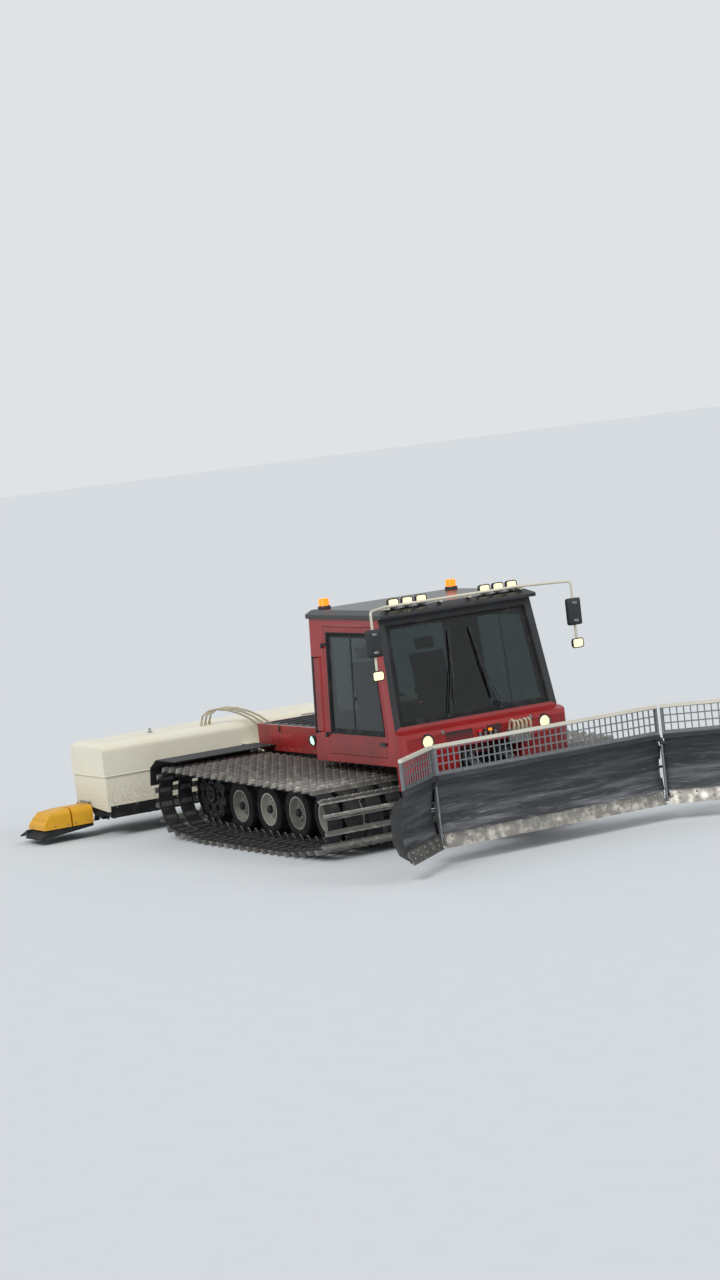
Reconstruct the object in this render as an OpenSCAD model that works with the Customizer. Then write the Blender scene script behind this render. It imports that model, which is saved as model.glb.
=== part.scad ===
// Tracked snow groomer with a twelve-way front blade and a rear tiller.
// Millimetres. +X points forward, +Y to the machine's left, +Z up.
// z = 0 is the ground under the track cleats.

/* [Tracks] */
// Distance between the outer edges of the two tracks
over_tracks = 4240; // [4100:10:4400]
// Width of one track
track_w = 1380; // [1300:10:1440]
// Thickness of the rubber belt
belt_t = 16; // [12:1:22]
// Height of a cleat above the belt
cleat_h = 62; // [50:1:72]
// Distance from cleat to cleat along the belt
cleat_pitch = 190; // [170:5:230]
// Radius of a road wheel over its tyre
wheel_r = 315; // [290:5:325]
// Width of a tyre
wheel_w = 200; // [160:5:240]
// Radius of the rim under the tyre
rim_r = 205; // [180:5:225]
// Distance between two road wheels
wheel_pitch = 730; // [700:10:750]
// Radius of the drive sprocket over its teeth
sprocket_r = 360; // [330:5:375]

/* [Hull] */
// Width of the hull between the tracks
tub_w = 1160; // [1040:10:1200]
// Height of the hull's deck above the ground
deck_z = 930; // [910:5:960]
// Ground clearance under the hull
clearance_z = 330; // [280:10:380]
// Width of the engine housing on the rear deck
bay_w = 1320; // [1240:10:1400]
// Height of the engine housing above the deck
bay_h = 330; // [280:10:380]
// Wall thickness of the engine housing
bay_wall = 40; // [32:1:50]

/* [Cab] */
// Width of the cab at its floor
cab_w = 2300; // [2200:10:2360]
// Width of the cab under its roof
cab_top_w = 2100; // [2000:10:2160]
// Height of the cab's underside above the ground
cab_z = 985; // [975:5:1020]
// Height of the windscreen's lower edge above the ground
sill_z = 1390; // [1340:10:1440]
// Height of the roof's underside above the ground
roof_z = 2690; // [2600:10:2760]
// Thickness of the cab walls and doors
cab_wall = 60; // [45:1:75]
// Thickness of the window glass
glass_t = 8; // [6:1:12]
// Thickness of the roof
roof_t = 100; // [80:5:120]

/* [Blade] */
// Width of the blade between its wings
blade_w = 3060; // [2900:10:3200]
// Height of the curved plate
blade_h = 760; // [700:10:820]
// Radius of the plate's curve
blade_r = 850; // [750:10:1000]
// Thickness of the plate
blade_t = 16; // [12:1:22]
// Height of the mesh guard on top
guard_h = 340; // [280:10:400]
// Width of one wing
wing_w = 1050; // [900:10:1100]
// Angle by which the wings are folded forward
wing_fold = 40; // [30:1:45]
// Height of the cutting edge above the ground
blade_z = 220; // [180:5:260]

/* [Tiller] */
// Width of the tiller's hood
tiller_w = 4840; // [4600:20:5000]
// Height of the hood's top above the ground
hood_top_z = 1220; // [1180:10:1280]
// Radius of the milling drum without its teeth
drum_r = 150; // [130:5:170]
// Height of a tooth on the drum
tooth_h = 55; // [40:5:60]
// Width of one side finisher
finisher_w = 760; // [650:10:800]

/* [Hidden] */
$fn = 48;
gap = 0.4;      // clearance between pieces that seat on each other
run = 6;        // clearance round a moving panel
pin_gap = 0.5;  // clearance beside and around a pin or eye
rod_gap = 0.3;  // clearance around a cylinder's rod

// Tracks
track_y = (over_tracks - track_w) / 2;
wheel_z = cleat_h + belt_t + wheel_r;
road_wheels = 4;
wheel_x0 = -1230;
wheel_xs = [for (i = [0:road_wheels - 1]) wheel_x0 + i * wheel_pitch];
idler = [wheel_xs[road_wheels - 1] + 700, wheel_z + 77];
sprocket = [-2010, 500];
arc_step = 15;

// Each circle that the belt wraps: x, z, radius
wraps = [
    [sprocket[0], sprocket[1], sprocket_r],
    [wheel_xs[0], wheel_z, wheel_r],
    [wheel_xs[road_wheels - 1], wheel_z, wheel_r],
    [idler[0], idler[1], wheel_r]
];
function outward(a, b) =
    atan2(b[1] - a[1], b[0] - a[0]) - acos((a[2] - b[2]) / norm([b[0] - a[0], b[1] - a[1]]));
leave = [for (i = [0:3]) outward(wraps[i], wraps[(i + 1) % 4])];
// Corners of the belt at an offset from the wheels, its flats tangent to them
function belt_path(off) = [
    for (i = [0:3])
        let (from = leave[(i + 3) % 4],
             sweep = (leave[i] - from + 720) % 360,
             n = max(1, ceil(sweep / arc_step)),
             h = sweep / n,
             r = (wraps[i][2] + off) / cos(h / 2))
        for (k = [0:n - 1])
            let (a = from + h * (k + 0.5))
            [wraps[i][0] + r * cos(a), wraps[i][1] + r * sin(a)]
];
outer = belt_path(belt_t);
n_out = len(outer);
function edge(i) = norm(outer[(i + 1) % n_out] - outer[i % n_out]);
function run_to(i) = i == 0 ? 0 : run_to(i - 1) + edge(i - 1);
lengths = [for (i = [0:n_out]) run_to(i)];
loop_len = lengths[n_out];
n_cleats = round(loop_len / cleat_pitch);
pitch = loop_len / n_cleats;
function wrap_s(s) = (s + loop_len) % loop_len;
function segment(s) = [for (i = [0:n_out - 1]) if (lengths[i] <= s && s < lengths[i + 1]) i][0];
function along(i) = (outer[(i + 1) % n_out] - outer[i]) / edge(i);
function at(s) = let (t = wrap_s(s), i = segment(t)) outer[i] + along(i) * (t - lengths[i]);
function dir_at(s) = along(segment(wrap_s(s)));
function out_at(s) = [dir_at(s)[1], -dir_at(s)[0]];
cleat_base = 74;
cleat_tip = 30;
cleat_sunk = 6;
// Outline of the cleat at a distance s along the belt, its foot sunk into the rubber
function cleat(s) = [
    at(s - cleat_base / 2) - out_at(s) * cleat_sunk,
    at(s) + out_at(s) * cleat_h - dir_at(s) * cleat_tip / 2,
    at(s) + out_at(s) * cleat_h + dir_at(s) * cleat_tip / 2,
    at(s + cleat_base / 2) - out_at(s) * cleat_sunk
];
inner = belt_path(0);
belt_strips = 5;
strip_share = 0.7;

// Hull
tub_y = tub_w / 2;
tub_rear = -2250;
tub_front = 1960;
tub_side = [
    [tub_rear, 560], [-1950, clearance_z], [1500, clearance_z], [tub_front, 500],
    [tub_front + 40, deck_z], [tub_rear, deck_z]
];
bay_rear = -2200;
bay_front = 100;
bay_top = deck_z + bay_h;
lid_t = 32;
ledge = 60;
platform_hole_r = 9;
platform_hole_d = 30;
platform_dx = 1900;
platform_dy = bay_w - bay_wall;
hood_axis = [bay_front - bay_wall, bay_top + 12 + pin_gap];
hood_knuckle = 12;
engine_x = [-1900, -450];
engine_w = 860;
slot_n = 7;
slot_pitch = 90;
slot_banks = [-1850, -750];
mudguard_t = 12;
// Outer line of a mudguard from the sprocket's axle and the inside of its top
mudguard = [[250, mudguard_t], [-290, mudguard_t], [-480, -100], [-530, -330]];
hood_knuckle_ys = [300, 440];

// Suspension
arm_reach = 330;
arm_z = 430;
arm_t = 60;
hub_w = 120;
axle_r = 42;

// Cab
cab_rear = 200;
cab_front = 2100;
brow_x = 1860;
cab_side = [[cab_rear, cab_z], [cab_front, cab_z], [cab_front, sill_z], [brow_x, roof_z], [cab_rear, roof_z]];
// Half widths of the rear window at its foot and top
rear_pane = [cab_w / 2 - 330, cab_top_w / 2 - 260];
cab_end = [[-cab_w / 2, cab_z], [cab_w / 2, cab_z], [cab_top_w / 2, roof_z], [-cab_top_w / 2, roof_z]];
cab_span = max(cab_w, cab_top_w) + 10;
roof_top = roof_z + roof_t;
roof_pad = [1000, 100, 12];
lamp_w = 160;
lamp_front = brow_x + 20;
roof_lamp_ys = [for (i = [0:2]) cab_top_w / 2 - 230 - i * (lamp_w + 30)];
headlight = [cab_w / 2 - 340, 1235];
headlight_r = 80;
headlight_x = cab_front + 136;
// Nose seen from the side: how far it reaches beyond the cab, and height
nose_side = [[140, 700], [210, 930], [235, 1130], [225, 1150], [196, 1158], [190, 1300], [135, 1350]];
nose_shelf = [cab_front + nose_side[4][0], nose_side[4][1]];
nose_round = 160;
floor_z = cab_z + cab_wall;
seat_x = 560;
seat_ys = [350, -480];
seat_w = 520;
seat_d = 540;
// Heights above the floor: base, cushion, back, headrest
seat_h = [250, 400, 1080, 1250];
seat_rake = 120;
console = [560, 1180, 480];
column = [1480, seat_ys[0], 560];
wheel_size = [175, 17];
dash_d = 330;
rail_x = cab_rear + 130;
rail_z = [330, 1260];

// Tube along the roof's front that carries the mirrors
mirror_r = 16;
mirror_bar = [lamp_front + 32, cab_top_w / 2 - 90, roof_top + 40];
mirror_at = [2290, cab_top_w / 2 + 330];
mirror_bend = 90;
mirror_size = [180, 310];
mirror_lamp_z = 2150;
lean = atan((cab_w - cab_top_w) / 2 / (roof_z - cab_z));
pillar = 95;
function cab_half(z) = cab_w / 2 - (z - cab_z) * tan(lean);
function screen_x(z) = cab_front - (z - sill_z) * (cab_front - brow_x) / (roof_z - sill_z);
door_rear = 520;
door_low = cab_z + 90;
door_high = roof_z - 90;
door_outline = [
    [door_rear, door_low], [cab_front - 200, door_low], [cab_front - 160, sill_z],
    [screen_x(door_high) - 140, door_high], [door_rear, door_high]
];
door_window_z = cab_z + 345;
hinge_r = 14;
door_hinge_x = door_rear - hinge_r - 1;
door_open_z = [door_low + 200, door_high - 260];

// Cylinders: barrel end, barrel radius, rod start, rod radius, pin radius, eye width
lift_cyl = [470, 48, 290, 23, 25, 104];
angle_cyl = [500, 42, 256, 22, 20, 92];
wing_cyl = [560, 38, 381, 20, 18, 84];
tiller_cyl = [430, 45, 260, 22, 25, 98];
lug_t = 30;
// Distance from a cylinder's axis to the middle of the lug beside its eye
function lug_off(cyl) = cyl[5] / 2 + pin_gap + lug_t / 2;

// Blade and its push frame
lift_pivot = [2150, 480];
arm_y = 430;
arm_w = 80;
lift_base = [2160, 1000];
lift_eye = [2800, 640];
lift_y = 240;
yaw_pivot = [2950, 0];
yaw_pin_r = 45;
beam_z = [400, 560];
yoke_t = 40;
yoke_z = [beam_z[0] - run - yoke_t, beam_z[1] + run];
angle_z = yoke_z[1] + yoke_t + pin_gap + angle_cyl[5] / 2;
angle_base = [2380, 300];
angle_eye = [3140, 520];
tilt_z = 510;
tilt_r = 60;
blade_x = 3600;
carrier_front = blade_x - 220;
blade_mid = blade_z + blade_h / 2;
curve_x = blade_x + sqrt(blade_r * blade_r - blade_h * blade_h / 4);
// The curved plate's surface at a height z, off behind its front face
function plate_x(z, off = 0) = curve_x - sqrt(pow(blade_r + off, 2) - pow(z - blade_mid, 2));
function plate_arc(z0, z1, off, n = 10) = [
    for (i = [0:n]) let (z = z0 + (z1 - z0) * i / n) [plate_x(z, off), z]
];
edge_h = [20, 130];
rail_h = 50;
blade_top = blade_z + blade_h + rail_h - 10;
wing_hinge = [blade_x - 8, blade_w / 2 + 8];
knuckle_h = 30;
knuckle_r = 22;
knuckle_z = [blade_z + 15, blade_z + blade_h - 15 - 2 * knuckle_h - pin_gap];
rib_back = blade_x - 200;
wing_base = [blade_x - 300, blade_w / 2 - 630];
blade_ribs = [for (share = [0.21, 0.62]) share * blade_w / 2];
wing_lug = [-260, 60];
wing_cyl_z = blade_mid + 20;
function turned(v, a) = [v[0] * cos(a) + v[1] * sin(a), -v[0] * sin(a) + v[1] * cos(a)];
wing_eye = wing_hinge + turned(wing_lug, wing_fold);
mesh_pitch = 76;
mesh_bar = 14;

// Hoses
coupling = [cab_front + 230, 390, nose_shelf[1] + 12];
coupling_w = 280;
hose_r = 13;
hose_n = 5;

// Tiller
tiller_pivot = [-2340, 520];
tiller_arm_y = 350;
tiller_base = [-2350, 990];
tiller_eye = [-3000, 700];
tiller_cyl_y = 230;
hood_front = -3160;
hood_rear = -4130;
hood_t = 14;
hood_lip = 12;
hood_round = 110;
hood_back_round = 190;
hood_end_round = 70;
cap_z = hood_top_z - 430;
drum = [-3660, 385];
drum_end = 35;
finisher_z = 440;
finisher_x = [-3990, -3700];
finisher_low = 190;
valve_block = [-3080, 150, 690];

// Shared tools

// A shape drawn in X and Z, as thick as w and centred on y
module slab(w, y = 0) {
    translate([0, y, 0]) rotate([90, 0, 0]) linear_extrude(height = w, center = true) children();
}
// A shape drawn in Y and Z, from x0 to x1
module across(x0, x1) {
    translate([x0, 0, 0]) rotate([90, 0, 90]) linear_extrude(height = x1 - x0) children();
}
// A box from its lowest to its highest corner
module block(lo, hi) {
    translate(lo) cube(hi - lo);
}
// A round bar along Y from y0 to y1
module bar_y(x, z, r, y0, y1) {
    translate([x, y0, z]) rotate([-90, 0, 0]) cylinder(r = r, h = y1 - y0);
}
// A round bar along X from x0 to x1
module bar_x(y, z, r, x0, x1) {
    translate([x0, y, z]) rotate([0, 90, 0]) cylinder(r = r, h = x1 - x0);
}
module both_sides() {
    children();
    mirror([0, 1, 0]) children();
}
module right_side() {
    mirror([0, 1, 0]) children();
}
function unit(v) = v / norm(v);
function arc(c, r, a0, a1, n = 6) = [
    for (i = [0:n]) let (a = a0 + (a1 - a0) * i / n) c + r * [cos(a), sin(a)]
];
// Points of a smooth curve from a to d, drawn towards b and c
function curve(a, b, c, d, n) = [
    for (i = [0:n])
        let (t = i / n, s = 1 - t)
        a * s * s * s + b * 3 * s * s * t + c * 3 * s * t * t + d * t * t * t
];
// A hose or bent bar through a row of points, across a direction that it never takes
module tube(path, r, across_dir) {
    n = 12;
    last = len(path) - 1;
    rings = [
        for (i = [0:last])
            let (before = unit(path[max(i, 1)] - path[max(i, 1) - 1]),
                 after = unit(path[min(i, last - 1) + 1] - path[min(i, last - 1)]),
                 t = unit(before + after), u = unit(cross(t, across_dir)), v = cross(t, u))
            for (k = [0:n - 1]) path[i] + r * (u * cos(360 * k / n) + v * sin(360 * k / n))
    ];
    polyhedron(rings, concat(
        [[for (k = [0:n - 1]) k], [for (k = [n - 1:-1:0]) last * n + k]],
        [for (i = [0:last - 1], k = [0:n - 1])
            let (a = i * n + k, b = i * n + (k + 1) % n)
            each [[a, a + n, b + n], [a, b + n, b]]]
    ));
}
// A convex outline, listed anticlockwise, moved inwards by d
function inset(p, d) = [
    for (i = [0:len(p) - 1])
        let (a = p[(i + len(p) - 1) % len(p)], b = p[i], c = p[(i + 1) % len(p)],
             u = unit(b - a), v = unit(c - b), k = (1 - u * v) / (u[0] * v[1] - u[1] * v[0]))
        b + d * [-u[1], u[0]] - d * k * u
];

// Tracks

module track() {
    strip_pitch = track_w / belt_strips;
    loop_i = [for (i = [0:n_out - 1]) i];
    color("dimgray") {
        for (k = [0:belt_strips - 1])
            slab(strip_pitch * strip_share, track_y + (k - (belt_strips - 1) / 2) * strip_pitch)
                polygon(concat(outer, inner), [loop_i, [for (i = loop_i) n_out + i]]);
        for (i = [0:n_cleats - 1]) slab(track_w, track_y) polygon(cleat((i + 0.5) * pitch));
    }
}
module each_wheel() {
    for (x = wheel_xs) translate([x, 0, wheel_z]) children();
    translate([idler[0], 0, idler[1]]) children();
}
module wheel_turned() {
    translate([0, track_y, 0]) rotate([90, 0, 0]) rotate_extrude() children();
}
module tyres() {
    half = wheel_w / 2;
    color("black") both_sides() each_wheel() wheel_turned() polygon([
        [rim_r, -half + 8], [wheel_r - 45, -half], [wheel_r - gap, -half + 30],
        [wheel_r - gap, half - 30], [wheel_r - 45, half], [rim_r, half - 8]
    ]);
}
module rims() {
    lip = wheel_w / 2 - 8;
    r = rim_r - gap;
    color("silver") both_sides() each_wheel() difference() {
        wheel_turned() polygon([
            [axle_r + gap, -hub_w / 2], [80, -hub_w / 2], [95, -10], [r - 40, -10], [r - 22, -lip], [r, -lip],
            [r, lip], [r - 22, lip], [r - 40, 12], [95, 12], [80, hub_w / 2], [axle_r + gap, hub_w / 2]
        ]);
        for (a = [0:60:300]) rotate([0, a, 0]) bar_y(128, 0, 20, track_y - 30, track_y + 30);
    }
}
module suspension_arms() {
    arm_y0 = tub_y + gap;
    color("dimgray") both_sides() each_wheel() {
        bar_y(0, 0, axle_r, arm_y0 + 40, track_y + hub_w / 2 + 15);
        bar_y(0, 0, 62, arm_y0 + 40, arm_y0 + 40 + arm_t);
        bar_y(0, 0, 64, track_y - hub_w / 2 - 40, track_y - hub_w / 2 - gap);
    }
    color("dimgray") both_sides() for (w = concat([for (x = wheel_xs) [x, wheel_z]], [idler])) {
        pivot = [w[0] - arm_reach, arm_z];
        bar_y(pivot[0], pivot[1], 74, arm_y0, arm_y0 + 50 + arm_t);
        slab(arm_t - 8, arm_y0 + 40 + arm_t / 2)
            polygon([pivot - [0, 60], w - [0, 50], w + [0, 50], pivot + [0, 60]]);
    }
}
module final_drives() {
    color("dimgray") both_sides() translate([sprocket[0], 0, sprocket[1]]) {
        bar_y(0, 0, 210, tub_y + gap, tub_y + 90);
        bar_y(0, 0, 150, tub_y + 90, track_y - 75 - gap);
    }
}
module sprockets() {
    teeth = 12;
    step = 360 / teeth;
    root = sprocket_r - 62;
    color("black") both_sides() translate([sprocket[0], 0, sprocket[1]]) {
        difference() {
            slab(150, track_y) polygon([
                for (i = [0:teeth - 1]) each [
                    root * [cos(i * step), sin(i * step)],
                    (sprocket_r - gap) * [cos((i + 0.32) * step), sin((i + 0.32) * step)],
                    (sprocket_r - gap) * [cos((i + 0.68) * step), sin((i + 0.68) * step)]
                ]
            ]);
            for (a = [0:60:300]) rotate([0, a, 0]) bar_y(205, 0, 42, track_y - 80, track_y + 80);
        }
        bar_y(0, 0, 120, track_y + 75, track_y + 105);
    }
}

// Hull and engine

module tub() {
    color("dimgray") slab(tub_w) polygon(tub_side);
}
module engine_block() {
    w = engine_w / 2;
    color("gray") block([engine_x[0], -w, deck_z + gap], [engine_x[1], w, bay_top - 90]);
}
module engine_bay() {
    w = bay_w / 2;
    color("firebrick") difference() {
        union() {
            difference() {
                block([bay_rear, -w, deck_z + gap], [bay_front, w, bay_top]);
                block(
                    [bay_rear + bay_wall, -w + bay_wall, deck_z],
                    [bay_front - bay_wall, w - bay_wall, bay_top + 1]
                );
            }
            both_sides() block(
                [bay_rear + bay_wall, w - bay_wall - ledge, bay_top - lid_t - 30],
                [bay_front - bay_wall, w - bay_wall, bay_top - lid_t]
            );
        }
        both_sides() for (x = [-platform_dx / 2, platform_dx / 2])
            translate([(bay_rear + bay_front) / 2 + x, platform_dy / 2, bay_top - platform_hole_d])
                cylinder(r = platform_hole_r, h = platform_hole_d + 1);
        both_sides() for (i = [0:slot_n - 1], x = [for (bank = slot_banks) bank + i * slot_pitch])
            block([x, w - bay_wall - 1, deck_z + 80], [x + slot_pitch / 2, w + 1, bay_top - 110]);
    }
    color("dimgray") both_sides() for (y = hood_knuckle_ys) {
        y0 = y + 40 + pin_gap;
        bar_y(hood_axis[0], hood_axis[1], hood_knuckle, y0, y0 + 40);
        block([hood_axis[0] + 2, y0, bay_top - 5], [hood_axis[0] + 30, y0 + 40, bay_top + 8]);
    }
}
module engine_hood() {
    w = bay_w / 2 - bay_wall - run;
    x0 = bay_rear + bay_wall + run;
    x1 = bay_front - bay_wall - run;
    color("dimgray") {
        block([x0, -w, bay_top - lid_t + gap], [x1, w, bay_top]);
        for (x = [x0 + 120:200:x1 - 120]) block([x, -w + 80, bay_top - 1], [x + 24, w - 80, bay_top + 14]);
        both_sides() for (y = hood_knuckle_ys) {
            bar_y(hood_axis[0], hood_axis[1], hood_knuckle, y, y + 40);
            block([hood_axis[0] - 70, y, bay_top - 5], [hood_axis[0] - run - 4, y + 40, bay_top + 10]);
            block([hood_axis[0] - 30, y, bay_top + 4], [hood_axis[0], y + 40, bay_top + 10]);
        }
    }
}
module cab_mounts() {
    color("black") both_sides() for (x = [cab_rear + 200, tub_front - 160])
        translate([x, tub_y - 110, deck_z + gap]) cylinder(r = 70, h = cab_z - deck_z - 2 * gap);
}
module nose() {
    w = cab_w / 2;
    flat_w = cab_w - 2 * nose_round;
    color("firebrick") difference() {
        intersection() {
            slab(cab_w) polygon(concat(
                [[cab_front + gap, nose_side[0][1]]], [for (p = nose_side) [cab_front + p[0], p[1]]],
                [[cab_front + 20, sill_z - 10], [cab_front + gap, sill_z - 10]]
            ));
            linear_extrude(height = sill_z) {
                translate([cab_front, -w]) square([70, cab_w]);
                for (s = [-1, 1]) translate([cab_front + 70, s * (w - nose_round)]) circle(r = nose_round);
                translate([cab_front, -flat_w / 2]) square([nose_side[2][0] + 5, flat_w]);
            }
        }
        block([tub_front, -arm_y, 650], [cab_front + 300, arm_y, nose_side[2][1]]);
        both_sides() bar_x(headlight[0], headlight[1], headlight_r + gap, headlight_x - gap, cab_front + 300);
    }
}

// Cab

module cab_solid(d) {
    intersection() {
        slab(cab_span) polygon(inset(cab_side, d));
        across(cab_rear - 10, cab_front + 10) polygon(inset(cab_end, d));
    }
}
module cab_hollow() {
    intersection() {
        slab(cab_span) polygon(let (p = inset(cab_side, cab_wall)) [
            p[0], p[1], p[2], p[3] + [-(cab_front - brow_x) / (roof_z - sill_z), 1] * (cab_wall + 2),
            [p[4][0], roof_z + 2]
        ]);
        across(cab_rear - 10, cab_front + 10) polygon(let (p = inset(cab_end, cab_wall), rise = cab_wall + 2)
            [p[0], p[1], p[2] + [-tan(lean), 1] * rise, p[3] + [tan(lean), 1] * rise]
        );
    }
}
// The glass layer of the whole cab, part way into the wall
module glass_layer() {
    depth = cab_wall / 3;
    difference() {
        cab_solid(depth);
        cab_solid(depth + glass_t);
    }
}
module door_zone(d) {
    slab(cab_span, cab_span / 2) polygon(inset(door_outline, d));
}
module door_window_zone(d) {
    side = inset(door_outline, 75);
    front = cab_front - 235;
    slab(cab_span, cab_span / 2) polygon(inset(
        [[side[0][0], door_window_z], [front, door_window_z], [front, sill_z], side[3], side[4]], d
    ));
}
module screen_zone(d) {
    low = sill_z + 50;
    high = roof_z - 85;
    across(brow_x - 300, cab_front + 20) polygon(inset([
        [-cab_half(low) + pillar, low], [cab_half(low) - pillar, low],
        [cab_half(high) - pillar, high], [-cab_half(high) + pillar, high]
    ], d));
}
module rear_window_zone(d) {
    low = sill_z + 90;
    high = roof_z - 110;
    across(cab_rear - 20, cab_rear + 100) polygon(inset([
        [-rear_pane[0], low], [rear_pane[0], low], [rear_pane[1], high], [-rear_pane[1], high]
    ], d));
}
module in_door_plane() {
    translate([0, cab_w / 2, cab_z]) rotate([lean, 0, 0]) children();
}
// Hinge knuckles of the left door: the door's and the pillar's take turns along the pin
module door_knuckles(upper) {
    in_door_plane() for (z = door_open_z - [cab_z, cab_z]) translate([0, 0, z + (upper ? 30 + pin_gap : 0)]) {
        translate([door_hinge_x, hinge_r + 1, 0]) cylinder(r = hinge_r, h = 30);
        if (upper) {
            translate([door_hinge_x, 4, 0]) cube([80, 8, 30]);
            translate([door_rear + run + 4, -4, 0]) cube([50, 14, 30]);
        } else translate([door_hinge_x - 55, -4, 0]) cube([55, 14, 30]);
    }
}
// Upright rail behind the left door
module grab_rail() {
    in_door_plane() translate([rail_x, 0, 0]) {
        translate([0, 55, rail_z[0]]) cylinder(r = 13, h = rail_z[1] - rail_z[0]);
        for (z = [rail_z[0] + 20, rail_z[1] - 20]) bar_y(0, z, 9, -5, 55);
    }
}
module cab_frame() {
    color("firebrick") difference() {
        cab_solid(0);
        cab_hollow();
        both_sides() door_zone(0);
        screen_zone(0);
        rear_window_zone(0);
    }
    color("dimgray") both_sides() {
        door_knuckles(false);
        grab_rail();
    }
}
module door() {
    color("firebrick") difference() {
        intersection() {
            difference() {
                cab_solid(0);
                cab_hollow();
            }
            door_zone(run);
        }
        door_window_zone(0);
    }
    color("dimgray") door_knuckles(true);
    color("black") in_door_plane() translate([cab_front - 330, 0, door_window_z - cab_z - 110])
        cube([130, 26, 34]);
}
module door_glass() {
    color("lightcyan", 0.4) intersection() {
        glass_layer();
        door_window_zone(gap);
    }
}
module windscreen() {
    color("lightcyan", 0.4) intersection() {
        glass_layer();
        screen_zone(gap);
    }
}
module rear_window() {
    color("lightcyan", 0.4) intersection() {
        glass_layer();
        rear_window_zone(gap);
    }
}
module cab_roof() {
    w = cab_top_w / 2 + 30;
    color("black") intersection() {
        slab(2 * w) polygon([
            [cab_rear - 30, roof_z + gap], [brow_x + 110, roof_z + gap], [brow_x + 120, roof_z + 40],
            [brow_x, roof_z + roof_t], [cab_rear, roof_z + roof_t], [cab_rear - 30, roof_z + 60]
        ]);
        across(cab_rear - 40, brow_x + 130) polygon([
            [-w, roof_z], [w, roof_z], [w, roof_z + 50], [w - 80, roof_z + roof_t],
            [-w + 80, roof_z + roof_t], [-w, roof_z + 50]
        ]);
    }
    color("black") block(
        [roof_pad[0] - roof_pad[1], -roof_pad[1], roof_top - 5],
        [roof_pad[0] + roof_pad[1], roof_pad[1], roof_top + roof_pad[2]]
    );
}
module seats() {
    x = seat_x;
    back = x - seat_rake;
    w = seat_w / 2;
    for (y = seat_ys) translate([0, y, floor_z]) color("black") {
        block([x + 80, 70 - w, gap], [x + seat_d - 80, w - 70, seat_h[0]]);
        block([x, -w, seat_h[0]], [x + seat_d, w, seat_h[1]]);
        slab(seat_w - 20)
            polygon([[x, seat_h[1]], [x + 140, seat_h[1]], [x, seat_h[2]], [back, seat_h[2]]]);
        slab(seat_w - 240)
            polygon([[back + 12, seat_h[2]], [x - 12, seat_h[2]], [x - 30, seat_h[3]], [back, seat_h[3]]]);
    }
}
module dashboard() {
    w = cab_w / 2 - cab_wall - 60;
    x = cab_front - cab_wall;
    color("dimgray") slab(2 * w) polygon([
        [x - dash_d + 70, floor_z + gap + 150], [x - 60, floor_z + gap], [x - gap, floor_z + gap],
        [x - gap, sill_z - 10], [x - dash_d, sill_z - 40], [x - dash_d, sill_z - 110]
    ]);
}
module controls() {
    color("black") translate([0, 0, floor_z + gap]) {
        block([console[0], -120, 0], [console[1], 60, console[2]]);
        translate([console[1] - 90, -30, console[2]]) cylinder(r = 22, h = 150);
        translate([console[1] - 90, -30, console[2] + 170]) sphere(r = 38);
        translate([column[0], column[1], 0]) {
            cylinder(r = 45, h = column[2]);
            translate([0, 0, column[2] + 15]) rotate([0, -25, 0]) {
                rotate_extrude() translate([wheel_size[0], 0]) circle(r = wheel_size[1]);
                slab(40) square([2 * wheel_size[0] - 10, 24], center = true);
            }
        }
    }
}

// Lamps and fittings

module lamps() {
    color("white") {
        both_sides() {
            for (y = roof_lamp_ys) block(
                [lamp_front - 90, y - lamp_w / 2, roof_top + gap],
                [lamp_front, y + lamp_w / 2, roof_top + 120]
            );
            bar_x(headlight[0], headlight[1], headlight_r, headlight_x, headlight_x + 64);
            block(
                [mirror_at[0] - 35, mirror_at[1] - lamp_w / 2, mirror_lamp_z - 120],
                [mirror_at[0] + 35, mirror_at[1] + lamp_w / 2, mirror_lamp_z]
            );
            block([cab_rear - 80, cab_w / 2 - 190, 1150], [cab_rear - gap, cab_w / 2 - 50, 1290]);
        }
    }
}
module beacons() {
    color("orange") both_sides() translate([cab_rear + 150, cab_top_w / 2 - 150, roof_z + roof_t + gap]) {
        cylinder(r = 80, h = 40);
        translate([0, 0, 40]) cylinder(r = 65, h = 90);
    }
}
module mirror_arms() {
    corner = [mirror_bar[0], mirror_bar[1], mirror_bar[2]];
    top = [mirror_at[0], mirror_at[1], mirror_bar[2]];
    out = unit(top - corner) * mirror_bend;
    down = [0, 0, mirror_bend];
    half = concat(
        curve(corner - [0, mirror_bend, 0], corner, corner, corner + out, 4),
        curve(top - out, top, top, top - down, 4),
        [[top[0], top[1], mirror_lamp_z + gap]]
    );
    color("silver") {
        tube(concat(
            [for (i = [len(half) - 1:-1:0]) [half[i][0], -half[i][1], half[i][2]]], half
        ), mirror_r, [1, 0, 0]);
        both_sides() {
            for (y = [200, mirror_bar[1] - 35]) block(
                [lamp_front - 80, y - 22, roof_top + gap], [mirror_bar[0] + 3, y + 22, mirror_bar[2] - 6]
            );
            block(
                [mirror_at[0] - 18, mirror_at[1] - mirror_size[0] / 2, mirror_lamp_z + 160],
                [mirror_at[0] + 24, mirror_at[1] + mirror_size[0] / 2, mirror_lamp_z + 160 + mirror_size[1]]
            );
        }
    }
}
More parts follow.
